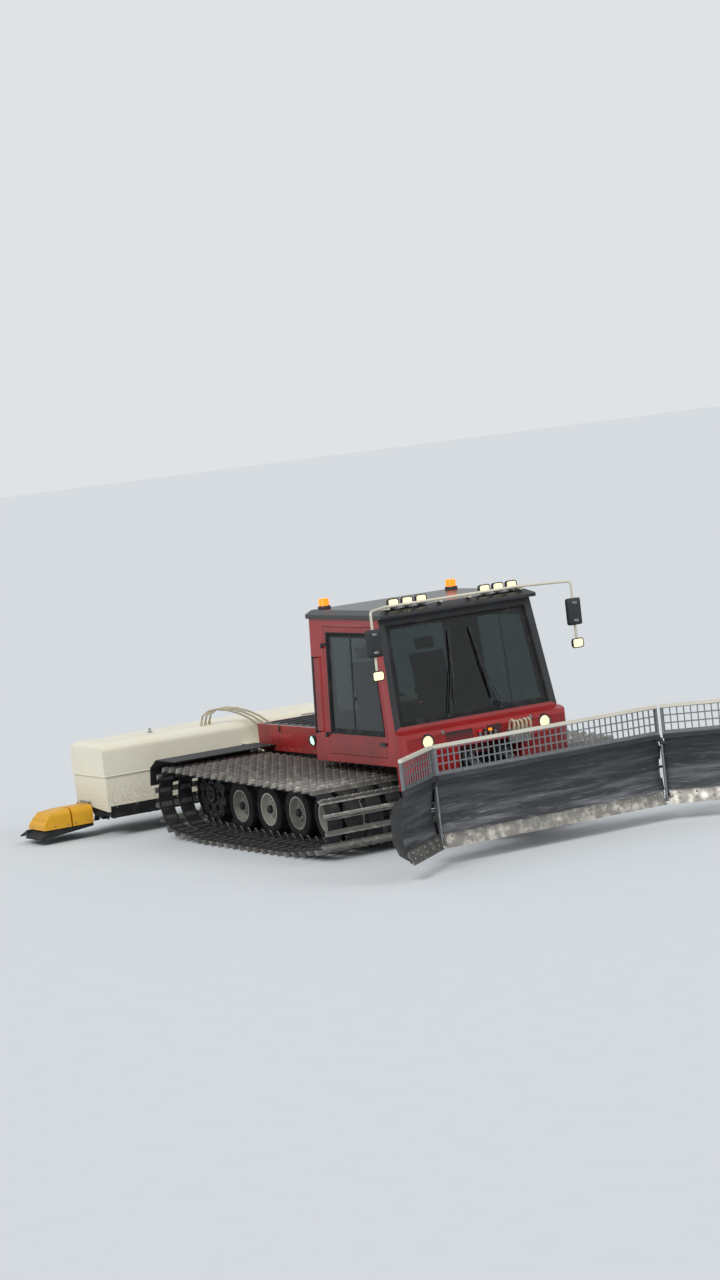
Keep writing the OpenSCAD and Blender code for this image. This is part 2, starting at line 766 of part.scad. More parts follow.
// Coupling block on the nose with a bundle of looped hoses
module front_hoses() {
    w = coupling_w / 2;
    color("silver") {
        slab(coupling_w, coupling[1]) polygon([
            [nose_shelf[0] + gap, coupling[2] - 8], [coupling[0] + 7, coupling[2] - 8],
            [coupling[0] + 7, coupling[2] - 110], [coupling[0] + 75, coupling[2] - 110],
            [coupling[0] + 75, coupling[2] + 20], [coupling[0] + 45, coupling[2] + 50],
            [nose_shelf[0] + gap, coupling[2] + 50]
        ]);
    }
    color("black") for (i = [0:hose_n - 1])
        let (y = coupling[1] - w + (i + 0.5) * coupling_w / hose_n,
             x = coupling[0] + 15, z = coupling[2] + 45)
            tube(curve(
                [x, y, z], [x + 5, y, z + 190 - 20 * (i % 2)], [x + 200, y + 15, z + 150 - 25 * (i % 3)],
                [x + 50, y + 10, z - 90], 8
            ), hose_r, [0, 1, 0]);
}
module exhaust() {
    stack = [10, bay_w / 2 + 78];
    color("silver") translate([stack[0], stack[1], 1020]) {
        rotate_extrude() polygon([
            [0, 0], [50, 0], [75, 40], [75, 420], [48, 460], [48, 900], [42, 900], [42, 470], [0, 470]
        ]);
        block([-40, -78 + gap, 60], [40, -60, 180]);
    }
}
module mudguards() {
    y0 = bay_w / 2 + gap;
    y1 = over_tracks / 2 - 20;
    base = [sprocket[0], sprocket[1] + sprocket_r + belt_t + cleat_h + 60];
    m = mudguard;
    t = mudguard_t;
    inner_line = [m[3] + [t, 0], m[2] + [t - 1, -t / 2], m[1] + [t / 4, -t], m[0] - [0, t]];
    color("black") both_sides() slab(y1 - y0, (y0 + y1) / 2)
        polygon([for (p = concat(m, inner_line)) base + p]);
}

// Blade and its linkage

// A bar from one point of the X and Z plane to another
module link_xz(a, b, w, y, h) {
    d = unit(b - a);
    n = [-d[1], d[0]] * h / 2;
    slab(w, y) polygon([a + n, a - n, b - n, b + n]);
}
// Something drawn along +X from the origin, laid from a towards b in the X and Z plane
module along_xz(a, b, y) {
    translate([a[0], y, a[1]]) rotate([0, -atan2(b[1] - a[1], b[0] - a[0]), 0]) children();
}
module along_xy(a, b, z) {
    translate([a[0], a[1], z]) rotate([0, 0, atan2(b[1] - a[1], b[0] - a[0])]) children();
}
// Barrel of a cylinder drawn along +X: base eye at the origin, bore for the rod
module barrel(cyl, flat = false) {
    len = cyl[0];
    r = cyl[1];
    pin_r = cyl[4];
    difference() {
        union() {
            bar_x(0, 0, r, pin_r + 12, len);
            bar_x(0, 0, r + 5, len - 35, len - 5);
            rotate([flat ? 90 : 0, 0, 0]) bar_y(0, 0, pin_r + 18, -cyl[5] / 2, cyl[5] / 2);
        }
        bar_x(0, 0, cyl[3] + rod_gap, pin_r + 25, len + 1);
        rotate([flat ? 90 : 0, 0, 0]) bar_y(0, 0, pin_r + pin_gap, -cyl[5], cyl[5]);
    }
}
// Rod of a cylinder drawn along +X, its eye at the distance reach
module rod(cyl, reach, flat = false) {
    bar_x(0, 0, cyl[3], cyl[2], reach - 4);
    rotate([flat ? 90 : 0, 0, 0]) bar_y(reach, 0, cyl[3] + 16, -cyl[5] / 2, cyl[5] / 2);
}
module front_bracket() {
    color("dimgray") {
        slab(2 * (arm_y - 40) - 1) polygon([
            [tub_front + 0.5, 505], [tub_front + 36, 505],
            [tub_front + 70, deck_z - 5], [tub_front + 40, deck_z - 5]
        ]);
        both_sides() {
            for (s = [-1, 1]) slab(lug_t, lift_y + s * lug_off(lift_cyl)) polygon([
                [1975, 520], [2190, 430], [2230, 900], [2210, 1050], [2130, 1060], [2104, 1030], [2104, 970],
                [2060, 970], [2010, deck_z - 10]
            ]);
            slab(60, arm_y - 40 - pin_gap - 30) polygon([[1970, 520], [2190, 410], [2220, 560], [2000, 700]]);
            bar_y(
                lift_base[0], lift_base[1], lift_cyl[4],
                lift_y - lug_off(lift_cyl), lift_y + lug_off(lift_cyl)
            );
            bar_y(lift_pivot[0], lift_pivot[1], 35, arm_y - 60, arm_y + 40);
        }
    }
}
module rear_bracket() {
    inner_y = tiller_arm_y - 40 - pin_gap;
    color("dimgray") {
        block([tub_rear - 40, -inner_y, 565], [tub_rear - gap, inner_y, deck_z - 5]);
        both_sides() {
            for (s = [-1, 1]) slab(lug_t, tiller_cyl_y + s * lug_off(tiller_cyl)) polygon([
                [tub_rear - 20, 570], tiller_pivot - [40, 70], tiller_base - [50, 90],
                tiller_base + [-40, 50], tiller_base + [40, 50], [tub_rear - 20, deck_z - 10]
            ]);
            bar_y(
                tiller_base[0], tiller_base[1], tiller_cyl[4],
                tiller_cyl_y - lug_off(tiller_cyl), tiller_cyl_y + lug_off(tiller_cyl)
            );
            bar_y(tiller_pivot[0], tiller_pivot[1], 35, 280, tiller_arm_y + 40);
        }
    }
}
module push_frame() {
    seat_z = angle_z - angle_cyl[5] / 2 - pin_gap;
    color("dimgray") difference() {
        union() {
            both_sides() {
                link_xz(lift_pivot, [2720, 490], arm_w, arm_y, 130);
                bar_y(lift_pivot[0], lift_pivot[1], 75, arm_y - arm_w / 2, arm_y + arm_w / 2);
                slab(lug_t, lift_y - lug_off(lift_cyl))
                    polygon([[2650, 520], [2860, 520], [2850, 660], [2800, 700], [2750, 660]]);
                translate([angle_base[0], angle_base[1], seat_z - 60]) cylinder(r = 55, h = 60);
                translate([angle_base[0], angle_base[1], seat_z - 10])
                    cylinder(r = angle_cyl[4], h = angle_cyl[5] + 20);
            }
            block([angle_base[0] - 60, -arm_y, 440], [angle_base[0] + 60, arm_y, 546]);
            translate([0, 0, beam_z[0]]) linear_extrude(height = beam_z[1] - beam_z[0]) polygon([
                [2640, -arm_y - 60], [2800, -arm_y - 60], [yaw_pivot[0] + 60, -100], [yaw_pivot[0] + 60, 100],
                [2800, arm_y + 60], [2640, arm_y + 60]
            ]);
            translate([yaw_pivot[0], 0, yoke_z[0]])
                cylinder(r = yaw_pin_r, h = yoke_z[1] + yoke_t - yoke_z[0]);
        }
        both_sides() bar_y(lift_pivot[0], lift_pivot[1], 35 + pin_gap, arm_y - 90, arm_y + 90);
    }
}
module blade_carrier() {
    hub = 95;
    neck = 100;
    arm0 = angle_eye[0] - yaw_pivot[0] - 45;
    color("dimgray") translate([yaw_pivot[0], 0, 0]) difference() {
        union() {
            for (z = yoke_z) translate([0, 0, z]) {
                cylinder(r = hub, h = yoke_t);
                linear_extrude(height = yoke_t) polygon([[0, -hub], [150, -neck], [150, neck], [0, hub]]);
            }
            translate([0, 0, yoke_z[1]]) linear_extrude(height = yoke_t) polygon([
                [arm0, -angle_eye[1] - 45], [arm0 + 90, -angle_eye[1] - 45], [380, -150], [380, 150],
                [arm0 + 90, angle_eye[1] + 45], [arm0, angle_eye[1] + 45], [130, neck], [130, -neck]
            ]);
            block(
                [130, -130, yoke_z[0]],
                [carrier_front - yaw_pivot[0] - pin_gap, 130, yoke_z[1] + yoke_t + 30]
            );
        }
        for (z = yoke_z) translate([0, 0, z - 1]) cylinder(r = yaw_pin_r + pin_gap, h = yoke_t + 2);
        bar_x(0, tilt_z, tilt_r + pin_gap, 125, 440);
    }
}
// Curved plate with its cutting edge, top rail and ribs, from y0 to y1, in the main blade's place
module blade_panel(y0, y1, rib_ys) {
    w = y1 - y0;
    y = (y0 + y1) / 2;
    z1 = blade_z + blade_h;
    slab(w, y) polygon(concat(plate_arc(blade_z, z1, 0), plate_arc(z1, blade_z, blade_t)));
    slab(w, y) polygon(concat(
        plate_arc(blade_z - edge_h[0], blade_z + edge_h[1], -14, 3),
        plate_arc(blade_z + edge_h[1], blade_z - edge_h[0], 3, 3)
    ));
    block([blade_x - 32, y0, z1 - 10], [blade_x + 23, y1, blade_top]);
    for (ry = rib_ys) slab(16, ry) polygon(concat(
        plate_arc(z1 - 15, blade_z + 15, blade_t - 8),
        [[rib_back + 60, blade_z + 90], [rib_back, blade_mid - 140]],
        [[rib_back, blade_mid + 140], [rib_back + 60, z1 - 90]]
    ));
}
// Frame and square mesh from y0 to y1, drawn in Y and Z
module guard_panel(y0, y1) {
    z0 = blade_top + gap;
    z1 = blade_top + guard_h;
    frame = 34;
    cols = floor((y1 - y0 - 2 * frame) / mesh_pitch);
    rows = floor((z1 - z0 - 2 * frame) / mesh_pitch);
    dy = (y1 - y0 - 2 * frame) / cols;
    dz = (z1 - z0 - 2 * frame) / rows;
    holes = [
        for (c = [0:cols - 1], r = [0:rows - 1])
            let (y = y0 + frame + c * dy + mesh_bar / 2, z = z0 + frame + r * dz + mesh_bar / 2)
            each [
                [y, z], [y + dy - mesh_bar, z], [y + dy - mesh_bar, z + dz - mesh_bar], [y, z + dz - mesh_bar]
            ]
    ];
    across(blade_x - 20, blade_x - 10) polygon(
        concat([[y0, z0], [y1, z0], [y1, z1], [y0, z1]], holes),
        concat([[0, 1, 2, 3]], [for (k = [0:cols * rows - 1]) [for (j = [0:3]) 4 + 4 * k + j]])
    );
    block([blade_x - 32, y0, z0], [blade_x + 3, y1, z0 + 30]);
    block([blade_x - 36, y0, z1 - 40], [blade_x + 8, y1, z1 + 4]);
    for (y = [y0, y1 - 30]) block([blade_x - 32, y, z0], [blade_x + 3, y + 30, z1]);
}
module hinge_cut() {
    translate([wing_hinge[0], wing_hinge[1], blade_z - 60]) cylinder(r = 40, h = blade_h + guard_h + 200);
}
// Knuckles of the wing's hinge: side is -1 on the blade and 1 on the wing
module wing_knuckles(side) {
    for (k = [0, 1]) {
        lower = (k == 0) == (side == -1);
        z = knuckle_z[k] + (lower ? 0 : knuckle_h + pin_gap);
        translate([wing_hinge[0], wing_hinge[1], z]) {
            cylinder(r = knuckle_r, h = knuckle_h);
            block([-45, side > 0 ? 0 : -75, 0], [8, side > 0 ? 75 : 0, knuckle_h]);
        }
    }
}
module blade() {
    ribs = concat(blade_ribs, [blade_w / 2 - 30]);
    color("black") {
        difference() {
            blade_panel(-blade_w / 2, blade_w / 2, concat(ribs, -ribs));
            both_sides() hinge_cut();
            both_sides() block(
                [rib_back - 10, wing_base[1] + 200, wing_cyl_z - 70],
                [plate_x(blade_mid, blade_t) - 4, blade_w / 2 - 10, wing_cyl_z + 70]
            );
        }
        both_sides() wing_knuckles(-1);
        block(
            [carrier_front, -wing_base[1] - 60, blade_mid - 170],
            [plate_x(blade_mid) - 8, wing_base[1] + 60, blade_mid - 10]
        );
        bar_x(0, tilt_z, tilt_r, yaw_pivot[0] + 150, carrier_front + 40);
        both_sides() {
            block([wing_base[0] - 40, wing_base[1] - 50, blade_mid - 60],
                [rib_back + 30, wing_base[1] + 50, wing_cyl_z - wing_cyl[5] / 2 - pin_gap]);
            translate([wing_base[0], wing_base[1], blade_mid - 40])
                cylinder(r = wing_cyl[4], h = wing_cyl_z + wing_cyl[5] / 2 + 10 - blade_mid + 40);
        }
    }
}
module blade_guard() {
    color("gray") guard_panel(-blade_w / 2 + 12, blade_w / 2 - 12);
}
module wing() {
    y0 = wing_hinge[1] + 8;
    y1 = wing_hinge[1] + wing_w;
    lug_top = wing_cyl_z - wing_cyl[5] / 2 - pin_gap;
    color("black") translate([wing_hinge[0], wing_hinge[1], 0]) rotate([0, 0, -wing_fold])
        translate([-wing_hinge[0], -wing_hinge[1], 0]) {
            difference() {
                blade_panel(y0, y1, [y0 + 52, (y0 + y1) / 2, y1 - 12]);
                hinge_cut();
            }
            wing_knuckles(1);
            translate([wing_hinge[0], wing_hinge[1], 0])
                block([wing_lug[0] - 36, wing_lug[1] - 36, lug_top - 40], [-90, wing_lug[1] + 40, lug_top]);
            guard_panel(y0 + 14, y1);
            block([blade_x - 30, y0 + 14, blade_top - 5], [blade_x, y1, blade_top + 5]);
        }
}
module lift_barrels() {
    color("silver") both_sides() along_xz(lift_base, lift_eye, lift_y) barrel(lift_cyl);
}
module lift_rods() {
    color("lightgray") both_sides() along_xz(lift_base, lift_eye, lift_y)
        rod(lift_cyl, norm(lift_eye - lift_base));
}
module angle_barrel() {
    color("silver") along_xy(angle_base, angle_eye, angle_z) barrel(angle_cyl, true);
}
module angle_rod() {
    color("lightgray") along_xy(angle_base, angle_eye, angle_z)
        rod(angle_cyl, norm(angle_eye - angle_base), true);
}
module wing_barrel() {
    color("silver") along_xy(wing_base, wing_eye, wing_cyl_z) barrel(wing_cyl, true);
}
module wing_rod() {
    color("lightgray") along_xy(wing_base, wing_eye, wing_cyl_z)
        rod(wing_cyl, norm(wing_eye - wing_base), true);
}

// Tiller

// The hood's cap seen from the side and from behind, d inside its outer face
function cap_side(d) = concat(
    [[hood_rear + d, cap_z - 2 * d], [hood_front - d, cap_z - 2 * d]],
    arc([hood_front - hood_round, hood_top_z - hood_round], hood_round - d, 0, 90),
    arc([hood_rear + hood_back_round, hood_top_z - hood_back_round], hood_back_round - d, 90, 180)
);
function cap_end(d) = let (w = tiller_w / 2 + hood_lip, z = hood_top_z - hood_end_round) concat(
    [[d - w, cap_z - 2 * d], [w - d, cap_z - 2 * d]],
    arc([w - hood_end_round, z], hood_end_round - d, 0, 90),
    arc([hood_end_round - w, z], hood_end_round - d, 90, 180)
);
module cap(d) {
    intersection() {
        slab(tiller_w + 4 * hood_lip) polygon(cap_side(d));
        across(hood_rear - 10, hood_front + 10) polygon(cap_end(d));
    }
}
// Walls under the cap, or what they enclose for d = hood_t
module skirt(d) {
    slab(tiller_w - 2 * d) polygon([
        [hood_rear + hood_lip + d, 420 - 20 * d], [hood_front - hood_lip - d, 340 - 20 * d],
        [hood_front - hood_lip - d, cap_z + 30 + d], [hood_rear + hood_lip + d, cap_z + 30 + d]
    ]);
}
module tiller_arm() {
    end_x = hood_front + gap;
    link_x = -3000;
    color("dimgray") difference() {
        union() {
            both_sides() {
                slab(80, tiller_arm_y) polygon([
                    [tiller_pivot[0] + 30, 455], [tiller_pivot[0] + 30, 585], [link_x, 740], [end_x, 900],
                    [end_x, 640], [link_x, 560]
                ]);
                bar_y(tiller_pivot[0], tiller_pivot[1], 72, tiller_arm_y - 40, tiller_arm_y + 40);
                slab(lug_t, tiller_cyl_y - lug_off(tiller_cyl)) polygon([
                    for (p = [[-110, -100], [40, -80], [45, 20], [0, 50], [-50, 40], [-110, -20]])
                        tiller_eye + p
                ]);
            }
            block([hood_front + 30, -tiller_arm_y, 590], [hood_front + 120, tiller_arm_y, 690]);
            block([end_x, -tiller_arm_y - 60, cap_z + 5], [end_x + 36, tiller_arm_y + 60, 920]);
        }
        both_sides()
            bar_y(tiller_pivot[0], tiller_pivot[1], 35 + pin_gap, tiller_arm_y - 90, tiller_arm_y + 90);
    }
    // Valve block between the arms
    color("ivory") {
        slab(2 * valve_block[1]) polygon([
            for (p = [[-60, -5], [130, -5], [130, 90], [90, 130], [-20, 130], [-60, 90]])
                [valve_block[0] + p[0], valve_block[2] + p[1]]
        ]);
        for (y = [-90, 0, 90])
            translate([valve_block[0] + 30, y, valve_block[2] + 125]) cylinder(r = 24, h = 55);
    }
}
module tiller_hoses() {
    x = valve_block[0] + 30;
    z = valve_block[2] + 180 + gap;
    end = [hood_front - 150, -900, hood_top_z + gap];
    color("tan") for (i = [0:2]) let (y = -90 + 90 * i, e = end + [-40 * i, 80 * i, 0]) {
        tube(curve([x, y, z + 30], [x, y, z + 420], e + [120, -60, 420], e + [0, 0, 30], 9),
            hose_r, [1, 0, 0]);
        for (p = [[x, y, z], e]) translate(p) cylinder(r = hose_r + 6, h = 40);
    }
}
module tiller_hood() {
    color("ivory") {
        difference() {
            union() {
                cap(0);
                skirt(0);
            }
            cap(hood_t);
            skirt(hood_t);
        }
        slab(50) polygon([
            [drum[0] - 70, drum[1] - 40], [drum[0] + 70, drum[1] - 40], [drum[0] + 160, hood_top_z - 5],
            [drum[0] - 160, hood_top_z - 5]
        ]);
    }
}
module tiller_comb() {
    w = tiller_w / 2 - 30;
    tine_n = 40;
    step = 2 * w / tine_n;
    slope = 120;
    root = [hood_rear + hood_lip - 14, 475];
    reach = 430;
    sheet_t = 22;
    color("black") {
        block([root[0] - 20, -w - 10, 440], [root[0] + 14 - gap, w + 10, 520]);
        translate([root[0], 0, root[1]]) rotate([0, slope, 0]) translate([0, 0, -sheet_t])
            linear_extrude(height = sheet_t) polygon(concat([[0, -w], [0, w]], [
                for (i = [0:tine_n - 1])
                    let (y = w - i * step, y1 = y - step * 0.6, notch = reach - 210)
                    each [[reach, y], [reach, y1], [notch, y1], [notch, y - step]]
            ]));
    }
}
module drum_side() {
    y0 = 25 + pin_gap;
    y1 = tiller_w / 2 - hood_t - pin_gap;
    ring_n = 17;
    step = (y1 - y0 - 130) / ring_n;
    color("dimgray") {
        bar_y(drum[0], drum[1], 35, y0, y1);
        bar_y(drum[0], drum[1], drum_r, y0 + drum_end, y1 - drum_end);
        for (i = [0:ring_n - 1], a = [0, 180])
            translate([drum[0], y0 + 65 + (i + 0.5) * step, drum[1]]) rotate([0, i * 41 + a, 0])
                slab(26) polygon([
                    [drum_r - 12, -32], [drum_r + tooth_h, -8], [drum_r + tooth_h, 8], [drum_r - 12, 32]
                ]);
    }
}
module finisher() {
    axis_y = tiller_w / 2 + 14 + pin_gap;
    y0 = axis_y + 20;
    y1 = y0 + finisher_w - 5;
    split = y0 + finisher_w * 0.4;
    top = finisher_z - 12;
    low = finisher_low;
    x0 = finisher_x[0];
    x1 = finisher_x[1];
    color("gold") {
        bar_x(axis_y, finisher_z, 14, x0, x1);
        block([x0 + 30, axis_y - 2, finisher_z - 40], [x1 - 30, y0 + 30, finisher_z - 8]);
        intersection() {
            for (span = [[y0, split - 12], [split + 12, y1 - 60]])
                slab(span[1] - span[0], (span[0] + span[1]) / 2) polygon(concat(
                    [[x0 - 120, low], [x1 + 100, low]], arc([x1 + 20, top - 80], 80, 0, 90),
                    arc([x0 + 90, top - 160], 160, 90, 150)
                ));
            across(x0 - 200, x1 + 200) polygon([
                [y0 - 1, low - 90], [y1, low - 90], [y1 - 60, low + 60], [y1 - 160, top - 30],
                [split + 60, top], [y0 - 1, top]
            ]);
        }
        block([x0 - 40, y0 + 20, low + 10], [x1 + 20, y1 - 90, low + 140]);
    }
    color("black") {
        across(x0 - 120, x1 + 80) polygon([
            [y0, low + 5], [y0, low - 40], [split, low - 70],
            [y1, low - 115], [y1, low - 102], [y1 - 120, low + 5]
        ]);
        slab(finisher_w - 40, (y0 + y1) / 2 - 10) polygon([
            [x0 - 100, low - 40], [x0 - 110, low - 10], [x0 - 340, low - 95], [x0 - 350, low - 115]
        ]);
    }
}
module tiller_barrels() {
    color("silver") both_sides() along_xz(tiller_base, tiller_eye, tiller_cyl_y) barrel(tiller_cyl);
}
module tiller_rods() {
    color("lightgray") both_sides() along_xz(tiller_base, tiller_eye, tiller_cyl_y)
        rod(tiller_cyl, norm(tiller_eye - tiller_base));
}

tub();
front_bracket();
rear_bracket();
suspension_arms();
tyres();
rims();
final_drives();
sprockets();
right_side() track();  // track_right
track();  // track_left
engine_block();
engine_bay();
engine_hood();
cab_mounts();
cab_frame();
cab_roof();
windscreen();
rear_window();
nose();
front_hoses();
seats();
dashboard();
controls();
lamps();
beacons();
mirror_arms();
exhaust();
mudguards();
right_side() door();  // door_right
door();  // door_left
right_side() door_glass();  // door_glass_right
door_glass();  // door_glass_left
push_frame();
blade_carrier();
blade();
blade_guard();
right_side() wing();  // wing_right
wing();  // wing_left
lift_barrels();
lift_rods();
right_side() angle_barrel();  // angle_barrel_right
right_side() angle_rod();  // angle_rod_right
angle_barrel();  // angle_barrel_left
angle_rod();  // angle_rod_left
right_side() wing_barrel();  // wing_barrel_right
right_side() wing_rod();  // wing_rod_right
wing_barrel();  // wing_barrel_left
wing_rod();  // wing_rod_left
tiller_arm();
tiller_hoses();
tiller_hood();
tiller_comb();
right_side() drum_side();  // drum_right
drum_side();  // drum_left
right_side() finisher();  // finisher_right
finisher();  // finisher_left
tiller_barrels();
tiller_rods();
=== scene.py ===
import math
from itertools import product

import bmesh
import bpy
from mathutils import Matrix, Vector


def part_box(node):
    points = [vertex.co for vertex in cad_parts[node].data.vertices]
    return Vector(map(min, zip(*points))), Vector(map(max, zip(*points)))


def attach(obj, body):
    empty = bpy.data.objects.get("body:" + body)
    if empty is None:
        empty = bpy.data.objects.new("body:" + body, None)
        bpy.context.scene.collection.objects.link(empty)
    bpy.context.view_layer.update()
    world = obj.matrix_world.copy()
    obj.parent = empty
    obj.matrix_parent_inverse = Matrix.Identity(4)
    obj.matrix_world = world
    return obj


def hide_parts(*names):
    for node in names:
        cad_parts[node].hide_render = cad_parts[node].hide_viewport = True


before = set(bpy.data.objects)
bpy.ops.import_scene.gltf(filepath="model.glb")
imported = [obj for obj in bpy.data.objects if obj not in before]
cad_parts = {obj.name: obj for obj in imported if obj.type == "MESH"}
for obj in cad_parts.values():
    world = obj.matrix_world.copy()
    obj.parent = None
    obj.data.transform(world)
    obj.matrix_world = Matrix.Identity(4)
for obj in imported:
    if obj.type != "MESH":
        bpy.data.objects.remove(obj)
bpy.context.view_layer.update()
scene = bpy.context.scene
sides = ((1, "left"), (-1, "right"))
alongX, alongY, alongZ = (1, 0, 0), (0, 1, 0), (0, 0, 1)


def placed(name, data):
    made = bpy.data.objects.new(name, data)
    scene.collection.objects.link(made)
    return made


def spokes(count, offset=0.0):  # angles that part a full turn evenly
    return [2 * math.pi * (k + offset) / count for k in range(count)]


# camera: a long lens from the front right, rolled because the photographed machine stands on a side slope
photoView = {"azimuth": 59.9, "elevation": 6.6, "roll": -6.4, "distance": 40.0, "pixels": 3285.0,
             "target": (0.5, 0.0, 1.0), "targetRight": 51.2, "targetDown": 104.8, "tall": 1280}


def addCamera(v):
    a, e, r = (math.radians(v[k]) for k in ("azimuth", "elevation", "roll"))
    back = Vector((math.sin(a) * math.cos(e), -math.cos(a) * math.cos(e), math.sin(e)))
    level = Vector((math.cos(a), math.sin(a), 0))
    rise = back.cross(level)
    right = level * math.cos(r) + rise * math.sin(r)
    up = rise * math.cos(r) - level * math.sin(r)
    ahead = (-v["pixels"] * back - v["targetRight"] * right + v["targetDown"] * up).normalized()
    right = ahead.cross(up).normalized()
    up = right.cross(ahead)
    camera = placed("photoCamera", bpy.data.cameras.new("photoCamera"))
    camera.data.lens = v["pixels"] / v["tall"] * camera.data.sensor_width
    camera.data.clip_end = 400
    turn = Matrix((right, up, -ahead)).transposed().to_4x4()
    camera.matrix_world = Matrix.Translation(Vector(v["target"]) + back * v["distance"]) @ turn
    scene.camera = camera


addCamera(photoView)
print("camera placed")


# a socket that Python's operators work on; numbers alone stay in Python
class Sock:
    def __init__(self, finish, link):
        self.finish, self.link = finish, link

    def sum(self, kind, *values):
        return self.finish.node("ShaderNodeMath", {"operation": kind}, dict(enumerate(values)))

    def __add__(self, other):
        return self.sum("ADD", self, other)

    def __radd__(self, other):
        return self.sum("ADD", other, self)

    def __sub__(self, other):
        return self.sum("SUBTRACT", self, other)

    def __rsub__(self, other):
        return self.sum("SUBTRACT", other, self)

    def __mul__(self, other):
        return self.sum("MULTIPLY", self, other)

    def top(self, other):
        return self.sum("MAXIMUM", self, other)

    def low(self, other):
        return self.sum("MINIMUM", self, other)

    def wave(self, length):
        return self.sum("SINE", self * (2 * math.pi / length))

    def between(self, start, end):
        return self.finish.node("ShaderNodeMapRange", {"interpolation_type": "SMOOTHSTEP"},
                                {0: self, 1: start, 2: end})


def tint(text):
    parts = [int(text[i:i + 2], 16) / 255 for i in (0, 2, 4)]
    return tuple(c / 12.92 if c < 0.04045 else ((c + 0.055) / 1.055) ** 2.4 for c in parts) + (1.0,)


def shaded(colour, share):
    return tuple(c * share for c in tint(colour)[:3]) + (1.0,)


# one material while its nodes are laid
class Finish:
    def __init__(self, name, **uniform):
        self.material = bpy.data.materials.new(name)
        self.material.use_nodes = True
        self.tree = self.material.node_tree
        self.tree.nodes.clear()
        self.shader = self.tree.nodes.new("ShaderNodeBsdfPrincipled")
        exit = self.tree.nodes.new("ShaderNodeOutputMaterial")
        self.tree.links.new(self.shader.outputs[0], exit.inputs[0])
        self.place = self.node("ShaderNodeTexCoord", output="Object")
        self.put(**uniform)

    def feed(self, socket, value):
        if isinstance(value, Sock):
            self.tree.links.new(value.link, socket)
        else:
            socket.default_value = value

    def node(self, kind, settings={}, inputs={}, output=0):
        made = self.tree.nodes.new(kind)
        for key, value in settings.items():
            if key != "stops":
                setattr(made, key, value)
        for i, (at, colour) in enumerate(settings.get("stops", [])):
            if i > 1:
                made.color_ramp.elements.new(at)
            made.color_ramp.elements[i].position = at
            made.color_ramp.elements[i].color = colour
        for key, value in inputs.items():
            self.feed(made.inputs[key], value)
        return Sock(self, made.outputs[output])

    def put(self, **values):
        names = {"colour": "Base Color", "rough": "Roughness", "metal": "Metallic", "coat": "Coat Weight",
                 "coatRough": "Coat Roughness", "glow": "Emission Color", "glowPower": "Emission Strength",
                 "through": "Transmission Weight", "ior": "IOR", "sheen": "Sheen Weight",
                 "sheenRough": "Sheen Roughness", "shine": "Specular IOR Level",
                 "scatter": "Subsurface Weight"}
        for key, value in values.items():
            if isinstance(value, str):
                value = tint(value)
            self.feed(self.shader.inputs[names[key]], value)
        return self

    def stretch(self, x, y, z):
        return self.node("ShaderNodeVectorMath", {"operation": "MULTIPLY"}, {0: self.place, 1: (x, y, z)})

    def axis(self, letter):
        return self.node("ShaderNodeSeparateXYZ", {}, {0: self.place}, letter)

    def grain(self, scale, detail, where=None):
        return self.node("ShaderNodeTexNoise", {},
                         {"Vector": where or self.place, "Scale": scale, "Detail": detail})

    def cells(self, scale):
        return self.node("ShaderNodeTexVoronoi", {"feature": "F1"}, {"Vector": self.place, "Scale": scale})

    def blend(self, mask, first, second):
        first, second = (tint(c) if isinstance(c, str) else c for c in (first, second))
        return self.node("ShaderNodeMix", {"data_type": "RGBA"}, {0: mask, 6: first, 7: second}, 2)

    def bumps(self, height, depth, strength):
        self.feed(self.shader.inputs["Normal"],
                  self.node("ShaderNodeBump", {}, {"Height": height, "Distance": depth,
                                                   "Strength": strength}))
        return self


def paint(name, colour, dirt="4a4640", rough=0.34, coat=0.35, scuff=0.5, lowDirt=(0.6, 1.5)):
    f = Finish(name, coatRough=0.12)
    cloud = f.grain(2.3, 4)
    fine = f.grain(26, 3)
    streak = f.grain(5, 3, where=f.stretch(6, 6, 0.7))
    grime = ((f.axis("Z").between(lowDirt[1], lowDirt[0]) * 0.55 + streak.between(0.52, 0.8) * 0.3)
             * cloud.between(0.3, 0.75)).low(0.85)
    shade = f.blend(cloud.between(0.25, 0.8), colour, shaded(colour, 0.78))
    scratch = f.grain(70, 2, where=f.stretch(1, 0.12, 1)).between(0.68, 0.74) * fine.between(0.5, 0.7) * scuff
    f.put(colour=f.blend(grime, f.blend(scratch, shade, "8f8a84"), dirt),
          rough=rough + grime * 0.4 + fine * 0.1, coat=coat - grime * coat)
    return f.bumps(fine * 0.4 + scratch * -0.6 + grime * fine, 0.0006, 0.6)


def steel(name, colour, worn, rough, metal, wear, scale=9.0):
    f = Finish(name)
    cloud = f.grain(scale, 4)
    pits = f.grain(scale * 14, 2)
    brushed = f.grain(scale * 5, 2, where=f.stretch(1, 0.08, 1))
    mask = cloud.between(0.62 - wear * 0.25, 0.8)
    f.put(colour=f.blend(mask, f.blend(brushed, colour, shaded(colour, 0.8)), worn),
          rough=rough + pits * 0.2 - mask * 0.08, metal=metal)
    return f.bumps(pits * 0.5 + brushed * 0.5, 0.0004, 0.5)


